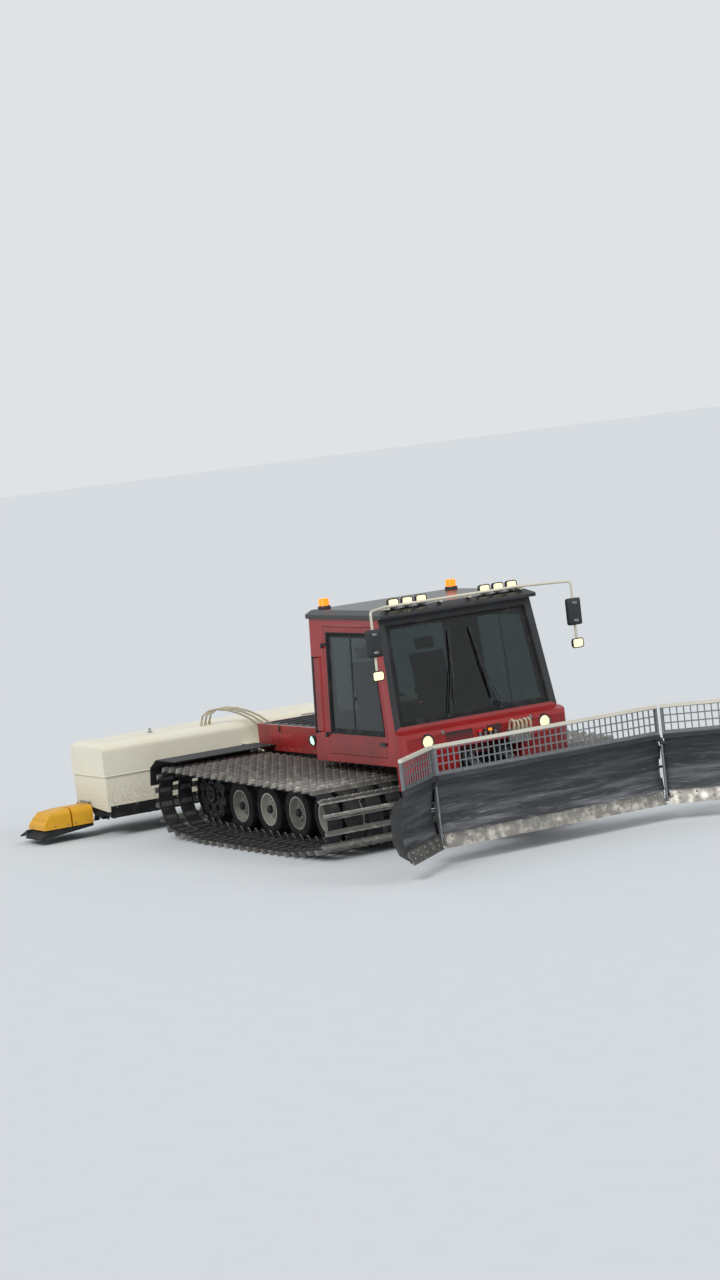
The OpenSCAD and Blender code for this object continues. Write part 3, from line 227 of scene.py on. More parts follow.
def blackPaint(name, colour, rough=0.5, scuffed=0.6, low=0.25, high=0.9):
    f = Finish(name)
    cloud = f.grain(3.1, 4)
    peel = f.grain(160, 1)
    scratch = f.grain(40, 2, where=f.stretch(1, 0.1, 1.6)).between(0.63, 0.7) * cloud.between(0.4, 0.7)
    bare = (scratch * scuffed + f.axis("Z").between(high, low) * cloud.between(0.5, 0.75) * 0.5).low(1)
    f.put(colour=f.blend(bare, f.blend(cloud, colour, "2a2b2d"), "6d6c6a"),
          rough=rough + cloud * 0.15 - bare * 0.1, metal=bare * 0.8)
    return f.bumps(peel * 0.3 - bare * 0.5, 0.0005, 0.6)


def wornBlade():  # paint polished off by snow, most of all low down
    f = Finish("bladeWorn")
    cloud = f.grain(2.1, 4)
    sweep = f.grain(9, 4, where=f.stretch(0.11, 0.11, 1.4))
    fine = f.grain(60, 2, where=f.stretch(0.08, 0.08, 1.2)).between(0.58, 0.68)
    low = f.axis("Z").between(1.05, 0.35)
    bare = ((sweep.between(0.4, 0.75) * 0.65 + fine * 0.4) * (low * 0.7 + cloud * 0.4)).low(1)
    f.put(colour=f.blend(bare, f.blend(cloud, "1b1c1f", "2a2c30"), "8d8e93"),
          rough=0.5 - bare * 0.12 + cloud * 0.1, metal=bare * 0.7)
    return f.bumps(sweep * 0.3 - fine * 0.5, 0.0005, 0.5)


def rubber(name, colour, rough, cord=0.0):
    f = Finish(name, shine=0.35)
    cloud = f.grain(6, 4)
    fine = f.grain(220, 2)
    f.put(colour=f.blend(cloud.between(0.45, 0.85) * 0.55, colour, "4b4a48"), rough=rough + fine * 0.15)
    weave = f.axis("Y").wave(0.012) * cord if cord else 0.0
    return f.bumps(fine * 0.5 + weave, 0.0008, 0.7)


def plastic(name, colour, rough, coarse, spots=None):
    f = Finish(name)
    leather = f.cells(420)
    cloud = f.grain(4, 3)
    f.put(colour=f.blend(cloud.between(0.4, 0.9) * 0.4, colour, spots or shaded(colour, 0.7)),
          rough=rough + cloud * 0.12)
    return f.bumps(leather, 0.0004, coarse)


def glass(name, colour, rough=0.02):
    f = Finish(name, colour=colour, through=1.0, ior=1.45)
    smear = f.grain(5, 3, where=f.stretch(1, 1, 0.4))
    return f.put(rough=rough + smear.between(0.5, 0.9) * 0.05)


def glowing(name, colour, power, rough=0.2):
    f = Finish(name, colour=colour, glowPower=power, rough=rough)
    prism = f.cells(90)
    return f.put(glow=f.blend(prism, colour, shaded(colour, 0.75))).bumps(prism, 0.001, 0.5)


def cloth(name, colour, light):
    f = Finish(name, sheen=0.25, sheenRough=0.5)
    across = f.axis("Y").wave(0.0034) * f.axis("Z").wave(0.0034)
    patch = f.grain(18, 3)
    f.put(colour=f.blend((across * 0.3 + patch * 0.5).low(1), colour, light), rough=0.9)
    return f.bumps(across * 0.5 + patch * 0.3, 0.0007, 0.6)


def hoodCream():
    f = Finish("hoodCream", coatRough=0.3, scatter=0.04)
    cloud = f.grain(1.7, 4)
    fine = f.grain(38, 3)
    low = f.axis("Z").between(0.95, 0.35)
    # painted shade: towards the bottom of the hood the cream turns to a darker beige (b8ad96, with darker
    # 8d8473 scratches); random beige patches and fine grain are mixed in
    paintedLowShade = (low * 0.75 + cloud.between(0.5, 0.85) * 0.3) * fine.between(0.25, 0.7)
    scratch = f.grain(30, 2, where=f.stretch(1, 0.15, 2)).between(0.66, 0.72) * 0.5
    f.put(colour=f.blend(paintedLowShade.low(1), f.blend(cloud, "e9e4d2", "dcd5bf"),
                         f.blend(scratch, "b8ad96", "8d8473")),
          rough=0.42 + fine * 0.15 + low * 0.1, coat=0.25 - low * 0.2)
    return f.bumps(fine * 0.5 - scratch, 0.0008, 0.5)


def meshSteel():
    f = Finish("meshSteel")
    cloud = f.grain(6, 3)
    zinc = f.cells(70)
    pale = f.axis("Z").between(1.325, 1.332)
    f.put(colour=f.blend(pale, f.blend(zinc, "8d9092", "6a6d70"), f.blend(cloud, "d8d4c6", "c2bdad")),
          rough=0.42 + cloud * 0.2, metal=0.75 - pale * 0.7)
    return f.bumps(zinc, 0.0005, 0.4)


def exhaustSteel():
    f = Finish("exhaustSteel", metal=1.0)
    height = f.axis("Z")
    cloud = f.grain(14, 3)
    heat = (height.between(1.2, 1.9) + cloud * 0.35 - 0.2).top(0).low(1)
    f.put(colour=f.node("ShaderNodeValToRGB", {"stops": [(0.0, tint("9a9a98")), (1.0, tint("3b3330")),
                                                         (0.45, tint("9b7f57")), (0.75, tint("5c5470"))]},
                        {0: heat}),
          rough=0.32 + cloud * 0.25)
    return f.bumps(cloud, 0.0006, 0.4)


def gripSteel():
    f = Finish("gripSteel", metal=0.7)
    bars = (f.axis("X").wave(0.04) * f.axis("Y").wave(0.04)).between(0.35, 0.6)
    cloud = f.grain(5, 3)
    f.put(colour=f.blend(bars * 0.7 + cloud * 0.2, "2c2d2f", "77787a"), rough=0.5 - bars * 0.12 + cloud * 0.1)
    return f.bumps(bars, 0.003, 0.8)


finishes = {
    "red": paint("coachRed", "980f10", dirt="473630", coat=0.28, scuff=0.3),
    "redDark": paint("doorRed", "8b0e10", dirt="473630", coat=0.28, scuff=0.25),
    "roof": paint("roofBlack", "1d1e20", dirt="3a3a3a", rough=0.4, coat=0.3, lowDirt=(0.2, 0.3)),
    "hull": blackPaint("hullPaint", "212224"),
    "frame": blackPaint("framePaint", "1a1b1d", 0.48, 0.7, 0.3, 0.8),
    "blade": blackPaint("bladeBlack", "141516", 0.42, 0.9, 0.2, 0.75),
    "bladeWorn": wornBlade(),
    "paleTube": paint("paleTube", "d2ccba", rough=0.4, coat=0.15, scuff=0.5),
    "cleat": steel("cleatAluminium", "8d8a84", "b9b6ae", 0.42, 0.8, 0.7),
    "edge": steel("cuttingEdge", "77746f", "a8a49b", 0.38, 0.95, 0.9),
    "zinc": steel("zincPlate", "8f9292", "b2b4b2", 0.36, 0.9, 0.4, 14),
    "bolt": steel("boltZinc", "9a9b98", "6b655b", 0.4, 0.9, 0.5, 40),
    "barrel": steel("cylinderBarrel", "5b5e62", "8b8d8f", 0.4, 0.8, 0.4),
    "chrome": steel("chromeRod", "d8dadc", "e8eaec", 0.09, 1.0, 0.2, 3),
    "engine": steel("engineCast", "55585c", "77706a", 0.6, 0.6, 0.6),
    "rim": paint("rimGrey", "b9b8ae", dirt="4d4a45", rough=0.4, coat=0.15, scuff=0.6, lowDirt=(0.2, 0.9)),
    "belt": rubber("beltRubber", "1c1c1d", 0.72, 0.25),
    "tyre": rubber("tyreRubber", "161617", 0.7),
    "seal": rubber("sealRubber", "0f0f10", 0.55),
    "hose": rubber("hoseRubber", "18191b", 0.45, 0.3),
    "paleHose": plastic("paleHoseSleeve", "b9ae94", 0.6, 0.4, "877c66"),
    "comb": rubber("combRubber", "191a1c", 0.6),
    "dark": plastic("darkPlastic", "1f2123", 0.5, 0.5),
    "guard": plastic("mudguardPlastic", "191a1b", 0.6, 0.5),
    "dash": plastic("dashPlastic", "2c2e31", 0.62, 0.6),
    "yellow": plastic("finisherYellow", "d9a01c", 0.42, 0.35, "a8780f"),
    "window": glass("windowGlass", tint("6f7c7c")),
    "clear": glass("lampGlass", tint("e8eeee"), 0.03),
    "lit": glowing("litLamp", "ffe6b4", 1.7),
    "litCool": glowing("litWorkLamp", "d8ffe9", 1.5),
    "amber": glowing("amberLens", "ff7a0a", 1.6, 0.15),
    "tail": glowing("tailLens", "c40e10", 0.25, 0.15),
    "mirror": Finish("mirrorGlass", colour=tint("dfe3e6"), metal=1.0, rough=0.03),
    "seat": cloth("seatCloth", "1d2023", "3a3f44"),
    "vinyl": plastic("seatVinyl", "18191b", 0.5, 0.7),
    "cream": hoodCream(),
    "mesh": meshSteel(),
    "exhaust": exhaustSteel(),
    "grip": gripSteel(),
}
smear = finishes["mirror"].grain(9, 3)
finishes["mirror"].put(rough=0.02 + smear * 0.05)
glassScreen = Finish("displayGlow", rough=0.15, glowPower=0.6)
bands = glassScreen.axis("Z").wave(0.035).between(0.2, 0.6)
rows = bands * glassScreen.axis("Y").wave(0.09).between(-0.4, 0.5)
glassScreen.put(colour="0b1418", glow=glassScreen.blend(rows, "0e2a33", "3f8fa0"))
finishes["display"] = glassScreen
print("finishes laid:", len(finishes))

nodesByFinish = {
    "hull": "tub suspension_arms final_drives drum_right drum_left",
    "frame": "front_bracket rear_bracket push_frame blade_carrier tiller_arm",
    "red": "engine_bay cab_frame nose", "redDark": "door_right door_left", "roof": "cab_roof",
    "window": "windscreen rear_window door_glass_right door_glass_left", "guard": "mudguards",
    "grip": "engine_hood",
    "tyre": "tyres", "rim": "rims", "belt": "track_right track_left", "dark": "sprockets controls lamps",
    "engine": "engine_block", "exhaust": "exhaust", "seal": "cab_mounts", "vinyl": "seats",
    "dash": "dashboard",
    "amber": "beacons", "paleHose": "front_hoses tiller_hoses", "paleTube": "mirror_arms",
    "mesh": "blade_guard",
    "blade": "blade wing_right wing_left", "cream": "tiller_hood", "comb": "tiller_comb",
    "yellow": "finisher_right finisher_left",
    "barrel": "lift_barrels tiller_barrels angle_barrel_right angle_barrel_left "
              "wing_barrel_right wing_barrel_left",
    "chrome": "lift_rods tiller_rods angle_rod_right angle_rod_left wing_rod_right wing_rod_left",
}
nodeFinishes = {name: finish for finish, names in nodesByFinish.items() for name in names.split()}
for name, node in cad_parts.items():
    node.data.materials.clear()
    node.data.materials.append(finishes[nodeFinishes.get(name, "frame")].material)


def refinish(name, finish, inside):  # faces of a CAD node whose middle passes the test get another finish
    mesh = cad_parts[name].data
    mesh.materials.append(finishes[finish].material)
    for face in mesh.polygons:
        if inside(face.center):
            face.material_index = len(mesh.materials) - 1


blockFaces = [(0, 1, 3, 2), (4, 6, 7, 5), (0, 4, 5, 1), (2, 3, 7, 6), (0, 2, 6, 4), (1, 5, 7, 3)]


# the faces of one piece, each part with its own finish
class Shape:
    def __init__(self, finish):
        self.points, self.faces, self.marks, self.finishes = [], [], [], []
        self.use(finish)

    def use(self, finish):
        if finish not in self.finishes:
            self.finishes.append(finish)
        self.mark = self.finishes.index(finish)
        return self

    def add(self, points, faces):
        base = len(self.points)
        self.points += [Vector(p) for p in points]
        self.faces += [[base + i for i in f] for f in faces]
        self.marks += [self.mark] * len(faces)
        return base

    def box(self, low, high, chamfer=0.0):
        c = min(chamfer, *(0.45 * (h - l) for l, h in zip(low, high)))
        if c <= 0:
            points = [(x, y, z) for x in (low[0], high[0]) for y in (low[1], high[1])
                      for z in (low[2], high[2])]
            faces = blockFaces
        else:  # cut corners: three points at each corner
            points, at, faces = [], {}, []
            for corner in product((0, 1), repeat=3):
                spot = [(low, high)[s][k] for k, s in enumerate(corner)]
                inward = [c if s == 0 else -c for s in corner]
                for k in range(3):
                    at[(*corner, k)] = len(points)
                    points.append([spot[j] + (0 if j == k else inward[j]) for j in range(3)])
            for k in range(3):
                i, j = (k + 1) % 3, (k + 2) % 3

                def point(s, a, b, away):
                    corner = [0, 0, 0]
                    corner[k], corner[i], corner[j] = s, a, b
                    return at[(*corner, away)]
                for s in (0, 1):
                    ring = [point(s, a, b, k) for a, b in ((0, 0), (1, 0), (1, 1), (0, 1))]
                    faces.append(ring if s else ring[::-1])
                for a, b in product((0, 1), repeat=2):
                    ring = [point(0, a, b, i), point(1, a, b, i), point(1, a, b, j), point(0, a, b, j)]
                    faces.append(ring if a != b else ring[::-1])
            for corner in product((0, 1), repeat=3):
                ring = [at[(*corner, k)] for k in range(3)]
                faces.append(ring if sum(corner) % 2 else ring[::-1])
        self.add(points, faces)
        return self

    def rings(self, rings, looped=False):  # skins a row of equal rings
        n = len(rings[0])
        base = self.add([p for ring in rings for p in ring], [])
        count = len(rings)
        for i in range(count if looped else count - 1):
            a, b = base + i * n, base + (i + 1) % count * n
            for j in range(n):
                k = (j + 1) % n
                self.faces.append([a + j, a + k, b + k, b + j])
                self.marks.append(self.mark)
        if not looped:
            self.faces += [[base + j for j in range(n)][::-1], [base + (count - 1) * n + j for j in range(n)]]
            self.marks += [self.mark] * 2
        return self

    def prism(self, outline, low, high, plane="xz"):
        spots = {"xz": lambda u, v, d: (u, d, v), "xy": lambda u, v, d: (u, v, d), "yz": lambda u, v,
                 d: (d, u, v)}
        ends = [[Vector(spots[plane](u, v, d)) for u, v in outline] for d in (low, high)]
        if plane == "xz":
            ends.reverse()
        return self.rings(ends)

    # outline is (radius, distance along axis)
    def lathe(self, outline, at, axis=alongZ, steps=24, looped=False):
        turn = Vector(alongZ).rotation_difference(Vector(axis).normalized()).to_matrix()
        spin = [(math.cos(a), math.sin(a)) for a in spokes(steps)]
        rings = [[Vector(at) + turn @ Vector((r * c, r * s, h)) for c, s in spin] for r, h in outline]
        return self.rings(rings, looped=looped)

    def tube(self, path, radius, sides, looped=False):
        path = [Vector(p) for p in path]
        count = len(path)
        along = [(path[(i + 1) % count] - path[i - 1]) if looped or 0 < i < count - 1
                 else (path[1] - path[0] if i == 0 else path[-1] - path[-2]) for i in range(count)]
        along = [d.normalized() for d in along]
        side = along[0].orthogonal().normalized()
        rings = []
        for i, (p, d) in enumerate(zip(path, along)):
            if i:
                side = (along[i - 1].rotation_difference(d) @ side)
                side = (side - d * side.dot(d)).normalized()
            other = d.cross(side)
            r = radius[i] if isinstance(radius, list) else radius
            rings.append([p + r * (side * math.cos(t) + other * math.sin(t))
                          for t in spokes(sides)])
        return self.rings(rings, looped=looped)

    def bolt(self, at, axis, size, washer=True):
        if washer:
            self.lathe([(size * 1.25, 0), (size * 1.25, size * 0.2)], at, axis, 12)
        return self.lathe([(size, 0), (size, size * 0.75), (size * 0.85, size * 0.9)], at, axis, 6)

    def mirrored(self):  # adds the same on the other side of the machine
        n, m = len(self.points), len(self.faces)
        self.points += [Vector((p.x, -p.y, p.z)) for p in self.points[:n]]
        self.faces += [[i + n for i in reversed(f)] for f in self.faces[:m]]
        self.marks += self.marks[:m]
        return self

    def piece(self, name, body="root", replaces=(), side=1, bevel=0.0, angle=32):
        mesh = bpy.data.meshes.new(name)
        points = self.points if side > 0 else [Vector((p.x, -p.y, p.z)) for p in self.points]
        faces = self.faces if side > 0 else [f[::-1] for f in self.faces]
        mesh.from_pydata(points, [], faces)
        solid = bmesh.new()
        solid.from_mesh(mesh)
        bmesh.ops.recalc_face_normals(solid, faces=solid.faces)
        solid.to_mesh(mesh)
        solid.free()
        for finish in self.finishes:
            mesh.materials.append(finishes[finish].material)
        mesh.polygons.foreach_set("material_index", self.marks)
        mesh.polygons.foreach_set("use_smooth", [True] * len(faces))
        mesh.update()
        mesh.set_sharp_from_angle(angle=math.radians(angle))
        made = placed(name, mesh)
        if bevel:
            softEdges(made, bevel, 2, 40)
        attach(made, body)
        if replaces:
            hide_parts(*replaces)
        return made


def rounded(corners, radius, steps=5):  # a polyline with its corners turned into arcs
    corners = [Vector(c) for c in corners]
    path = [corners[0]]
    for a, b, c in zip(corners, corners[1:], corners[2:]):
        u, v = (a - b).normalized(), (c - b).normalized()
        reach = min(radius / math.tan(max(u.angle(v) / 2, 0.05)), (a - b).length * 0.49,
                    (c - b).length * 0.49)
        start, end = b + u * reach, b + v * reach
        path += [(start.lerp(b, t)).lerp(b.lerp(end, t), t) for t in (k / steps for k in range(steps + 1))]
    return path + [corners[-1]]


def insetOutline(p, d):
    made = []
    for i in range(len(p)):
        a, b, c = (Vector(p[(i + k) % len(p)]) for k in (-1, 0, 1))
        u, v = (b - a).normalized(), (c - b).normalized()
        k = (1 - u.dot(v)) / (u.x * v.y - u.y * v.x)
        made.append(b + d * Vector((-u.y, u.x)) - d * k * u)
    return made


def softEdges(thing, width, steps, angle):
    cut = thing.modifiers.new("softEdges", "BEVEL")
    cut.width, cut.segments, cut.limit_method, cut.angle_limit = width, steps, "ANGLE", math.radians(angle)
    cut.harden_normals = True


# soft edges on the CAD's sharp sheet metal
def softenNode(name, width, steps=2):
    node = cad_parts[name]
    weld = node.modifiers.new("joinFaces", "WELD")
    weld.merge_threshold = 0.00002
    softEdges(node, width, steps, 35)


# light and floor
studio = {"world": 0.62, "sun": 1.75, "sunAngle": 24, "sunTurn": (48, 6, 28), "fill": 0.55,
          "fillTurn": (62, 0, 118), "backdrop": "dfe3e6", "floor": "d5d9dc", "floorSize": 160.0,
          "floorDrop": 0.002}


def addStudio(s):
    for name, turn, power in (("keySun", s["sunTurn"], s["sun"]), ("fillSun", s["fillTurn"], s["fill"])):
        lamp = placed(name, bpy.data.lights.new(name, "SUN"))
        lamp.data.energy, lamp.data.angle = power, math.radians(s["sunAngle"])
        lamp.rotation_euler = [math.radians(t) for t in turn]
    world = bpy.data.worlds.new("studio")
    scene.world = world
    world.use_nodes = True
    tree = world.node_tree
    tree.nodes.clear()
    kinds = ("ShaderNodeOutputWorld", "ShaderNodeMixShader", "ShaderNodeLightPath")
    exit, mixer, rays = (tree.nodes.new(k) for k in kinds)
    seen = rays.outputs["Is Camera Ray"]
    for ray in ("Is Glossy Ray", "Is Transmission Ray"):
        either = tree.nodes.new("ShaderNodeMath")
        either.operation = "MAXIMUM"
        tree.links.new(seen, either.inputs[0])
        tree.links.new(rays.outputs[ray], either.inputs[1])
        seen = either.outputs[0]
    for slot, colour, power in ((1, tint("f2f5f8"), s["world"]), (2, tint(s["backdrop"]), 1.0)):
        sky = tree.nodes.new("ShaderNodeBackground")
        sky.inputs[0].default_value, sky.inputs[1].default_value = colour, power
        tree.links.new(sky.outputs[0], mixer.inputs[slot])
    tree.links.new(seen, mixer.inputs[0])
    tree.links.new(mixer.outputs[0], exit.inputs[0])
    floor = Finish("studioFloor")
    grainy = floor.grain(3, 3)
    floor.put(colour=floor.blend(grainy, s["floor"], shaded(s["floor"], 0.96)), rough=0.85)
    size = s["floorSize"]
    mesh = bpy.data.meshes.new("studioFloor")
    mesh.from_pydata([(-size, -size, 0), (size, -size, 0), (size, size, 0), (-size, size, 0)], [],
                     [(0, 1, 2, 3)])
    mesh.materials.append(floor.material)
    ground = placed("studioFloor", mesh)
    ground.location.z = -s["floorDrop"]
    scene.view_settings.view_transform = "Standard"


addStudio(studio)
print("studio lit")

for name, width in (("cab_frame", 0.008), ("nose", 0.012), ("door_right", 0.005), ("door_left", 0.005),
                    ("cab_roof", 0.012), ("engine_bay", 0.006), ("tiller_hood", 0.006)):
    softenNode(name, width)

# each track is one loop of rubber belts with cross bars
track = {"over": 4.24, "width": 1.38, "belt": 0.016, "belts": 5, "share": 0.7, "bar": 0.062, "pitch": 0.19,
         "foot": 0.074, "tooth": 0.105, "notch": 0.011, "chamfer": 0.035, "guide": 0.072, "guideIn": 0.113,
         "wheel": 0.315, "wheelX": -1.23, "wheelStep": 0.73, "wheels": 4, "idler": (1.66, 0.47),
         "sprocket": (-2.01, 0.5, 0.36), "arc": 0.09}
track["y"] = (track["over"] - track["width"]) / 2
wheelZ = track["bar"] + track["belt"] + track["wheel"]
wheelSpots = [(track["wheelX"] + i * track["wheelStep"], wheelZ)
              for i in range(track["wheels"])] + [track["idler"]]
wraps = [track["sprocket"], (*wheelSpots[0], track["wheel"]), (*wheelSpots[3], track["wheel"]),
         (*track["idler"], track["wheel"])]


def leaveAngle(a, b):
    dx, dz = b[0] - a[0], b[1] - a[1]
    return math.atan2(dz, dx) - math.acos((a[2] - b[2]) / math.hypot(dx, dz))


def beltLoop(off):
    leave = [leaveAngle(wraps[i], wraps[(i + 1) % 4]) for i in range(4)]
    loop = []
    for i, (x, z, r) in enumerate(wraps):
        sweep = (leave[i] - leave[i - 1]) % (2 * math.pi)
        n = max(1, math.ceil(sweep / track["arc"]))
        for k in range(n + 1):
            a = leave[i - 1] + sweep * k / n
            loop.append(Vector((x + (r + off) * math.cos(a), z + (r + off) * math.sin(a))))
    return loop


def alongLoop(loop):
    marks, total = [], 0.0
    for i, p in enumerate(loop):
        marks.append(total)
        total += (loop[(i + 1) % len(loop)] - p).length
    return marks, total


def makeTracks(t):
    loop, inner = beltLoop(t["belt"]), beltLoop(0)
    marks, total = alongLoop(loop)
    bars = round(total / t["pitch"])
    step = total / bars
    shape = Shape("belt")
    beltPitch = t["width"] / t["belts"]
    half = beltPitch * t["share"] / 2
    middles = [t["y"] + (k - (t["belts"] - 1) / 2) * beltPitch for k in range(t["belts"])]
    for y in middles:  # belt with a rounded rim on both sides
        rings = []
        for o, i in zip(loop, inner):
            side = (o - i).normalized() * 0.004
            rings.append([(i.x, y - half, i.y), (i.x, y + half, i.y), ((o - side).x, y + half, (o - side).y),
                          (o.x, y + half - 0.008, o.y), (o.x, y - half + 0.008, o.y),
                          ((o - side).x, y - half, (o - side).y)])
        shape.rings(rings, looped=True)
    foot, tall, low = t["foot"] / 2, t["bar"], t["y"] - t["width"] / 2
    stations, y = [(0.0, -t["chamfer"]), (0.012, -0.004)], 0.04
    while y < t["width"] - 0.05:  # ice teeth: the bar's lip steps down between them
        stations += [(y, 0.0), (min(y + t["tooth"] * 0.6, t["width"] - 0.05), 0.0)]
        if y + t["tooth"] < t["width"] - 0.05:
            stations += [(y + t["tooth"] * 0.68, -t["notch"]), (y + t["tooth"] * 0.92, -t["notch"])]
        y += t["tooth"]
    stations += [(t["width"] - 0.012, -0.004), (t["width"], -t["chamfer"])]
    for n in range(bars):
        s = (n + 0.5) * step
        i = max(k for k, m in enumerate(marks) if m <= s)
        ahead = (loop[(i + 1) % len(loop)] - loop[i]).normalized()
        base = loop[i] + ahead * (s - marks[i])
        out = Vector((ahead.y, -ahead.x))

        def spot(u, v, y):
            p = base + ahead * u + out * v
            return (p.x, y, p.y)
        shape.use("cleat")
        rings = []
        for y, drop in stations:
            h = tall + drop
            section = [(-foot, 0.0), (-foot, 0.006), (-0.017, 0.011), (-0.011, h * 0.6), (-0.009, h - 0.003),
                       (-0.006, h), (0.006, h), (0.009, h - 0.003), (0.011, h * 0.6), (0.017, 0.011),
                       (foot, 0.006), (foot, 0.0)]
            rings.append([spot(u, v, low + y) for u, v in section])
        shape.rings(rings)
        for y in middles:
            shape.use("zinc")
            plate = [spot(u, v, 0) for u, v in ((-0.03, -t["belt"] - 0.004), (0.03, -t["belt"] - 0.004),
                                               (0.03, -t["belt"]), (-0.03, -t["belt"]))]
            shape.rings([[(x, y + d, z) for x, _, z in plate] for d in (0.075, -0.075)])
            shape.use("bolt")
            for d in (-0.05, 0.05):
                for u in (-0.026, 0.026):
                    shape.lathe([(0.008, 0.0), (0.008, 0.009)], spot(u, 0.004, y + d), (out.x, 0, out.y), 6)
        shape.use("zinc")
        for side in (-1, 1):  # the bows that keep the belt under its tyres
            near = t["y"] + side * t["guideIn"]
            bow = [(-0.03, 0.0), (-0.018, -t["guide"]), (0.018, -t["guide"]), (0.03, 0.0)]
            shape.tube(rounded([spot(u, v - t["belt"], near + side * (0.012 - v * 0.35)) for u, v in bow],
                               0.02, 2),
                       0.006, 5)
    return shape


tracks = makeTracks(track)
tracks.piece("trackLeft", replaces=["track_left"], angle=40)
tracks.piece("trackRight", replaces=["track_right"], side=-1, angle=40)
print("tracks made")

wheel = {"bead": 0.2055, "tread": 0.3142, "boltRing": 0.066, "bolts": 8, "face": 0.0605}


def makeWheels(w):
    tyres, hubs = Shape("tyre"), Shape("bolt")
    half = [(0.082, w["bead"]), (0.094, 0.212), (0.0995, 0.24), (0.1, 0.262), (0.096, 0.286), (0.089, 0.303),
            (0.082, 0.3095), (0.066, 0.313), (0.064, 0.306), (0.052, 0.306), (0.05, w["tread"]),
            (0.024, w["tread"]), (0.022, 0.307), (0.008, 0.307), (0.006, w["tread"])]
    outline = [(r, -y) for y, r in half] + [(r, y) for y, r in reversed(half)] + [(0.209, 0.07),
                                                                                  (0.209, -0.07)]
    for x, z in wheelSpots:
        tyres.lathe(outline, (x, track["y"], z), alongY, 64, looped=True)
        for a in spokes(w["bolts"], 0.5):
            hubs.use("bolt").bolt((x + w["boltRing"] * math.cos(a), track["y"] + w["face"],
                                   z + w["boltRing"] * math.sin(a)), alongY, 0.009)
        hubs.use("dark").lathe([(0.05, 0), (0.05, 0.02), (0.044, 0.032), (0.028, 0.04), (0.002, 0.042)],
                               (x, track["y"] + 0.06, z), alongY, 28)
        for k in range(6):  # ribs on the disc between the lightening holes
            a = math.radians(60 * k + 30)
            c, s = math.cos(a), math.sin(a)
            hubs.use("rim").rings([[(x + r * c + d * s, track["y"] + y, z + r * s - d * c) for r, y in
                                    ((0.1, 0.012), (0.1, 0.034), (0.162, 0.016), (0.162, 0.012))]
                                   for d in (-0.006, 0.006)])
    tyres.mirrored().piece("groovedTyres", replaces=["tyres"], angle=50)
    hubs.mirrored().piece("wheelHubs")


makeWheels(wheel)
print("wheels made")

# cab: points on its walls, out is how far they stand off
cab = {"rear": 0.2, "front": 2.1, "brow": 1.86, "low": 0.985, "sill": 1.39, "top": 2.69, "halfLow": 1.15,
       "halfTop": 1.05, "pillar": 0.095, "roof": 2.79,
       "door": [(0.52, 1.075), (1.9, 1.075), (1.94, 1.39), (1.7366, 2.6), (0.52, 2.6)]}
sideSlope = (cab["halfLow"] - cab["halfTop"]) / (cab["top"] - cab["low"])
screenSlope = (cab["front"] - cab["brow"]) / (cab["top"] - cab["sill"])


def cabHalf(z):
    return cab["halfLow"] - (z - cab["low"]) * sideSlope


def onSide(x, z, out):
    return (x, cabHalf(z) + out, z)


def onScreen(y, z, out):
    return (cab["front"] - (z - cab["sill"]) * screenSlope + out, y, z)


def onRear(y, z, out):
    return (cab["rear"] - out, y, z)


def offWall(spot):
    return abs(spot.y) - cabHalf(spot.z)


def bandLoop(shape, outline, place, profile):  # sweeps a profile (inset, stand-off) round a window
    return shape.rings([[place(p.x, p.y, h) for p in insetOutline(outline, d)] for d, h in profile],
                       looped=True)


def windowOutline(low, high, margin):
    a, b = cabHalf(low) - margin, cabHalf(high) - margin
    return [(-a, low), (a, low), (b, high), (-b, high)]


gasket = {"profile": [(-0.007, 0.001), (-0.006, 0.006), (0.009, 0.006), (0.021, -0.012), (0.021, -0.0195),
                      (0.0006, -0.0195), (0.0006, 0.001)],
          "frit": [(0.02, -0.0192), (0.055, -0.0192), (0.055, -0.0198), (0.02, -0.0198)]}


def makeWindows(g):
    side = insetOutline(cab["door"], 0.075)
    front = cab["front"] - 0.235
    door = [(side[0].x, 1.33), (front, 1.33), (front, cab["sill"]), tuple(side[3]), tuple(side[4])]
    screen = windowOutline(cab["sill"] + 0.05, cab["top"] - 0.085, cab["pillar"])
    back = windowOutline(cab["sill"] + 0.09, cab["top"] - 0.11, cab["pillar"] + 0.16)
    for where, word in sides:
        shape = Shape("seal")
        bandLoop(shape, door, onSide, g["profile"])
        bandLoop(shape, door, onSide, g["frit"])
        shape.use("dark")  # sliding pane's rail and catch
        shape.rings([[onSide(1.13, z, -0.019), onSide(1.135, z, -0.011), onSide(1.15, z, -0.011),
                      onSide(1.155, z, -0.019)]
                     for z in (1.345, 2.51)])
        shape.box((1.165, cabHalf(1.75) - 0.02, 1.73), (1.195, cabHalf(1.75) - 0.006, 1.77), chamfer=0.005)
        shape.piece("doorSeal" + word.title(), "door_" + word, side=where, angle=40)
    shape = Shape("seal")
    bandLoop(shape, screen, onScreen, g["profile"])
    bandLoop(shape, screen, onScreen, g["frit"])
    bandLoop(shape, back, onRear, g["profile"])
    shape.piece("glassSeals", angle=40)
    doorSeal = Shape("seal")  # rubber lip in the gap round each door
    bandLoop(doorSeal, cab["door"], onSide,
             [(0.0006, -0.03), (0.0006, -0.012), (0.0054, -0.012), (0.0054, -0.03)])
    doorSeal.mirrored().piece("doorLips")


makeWindows(gasket)

wiper = {"feet": (0.36, -0.36), "footZ": 1.455, "tipIn": 0.16, "tipZ": 2.02, "blade": 0.86}


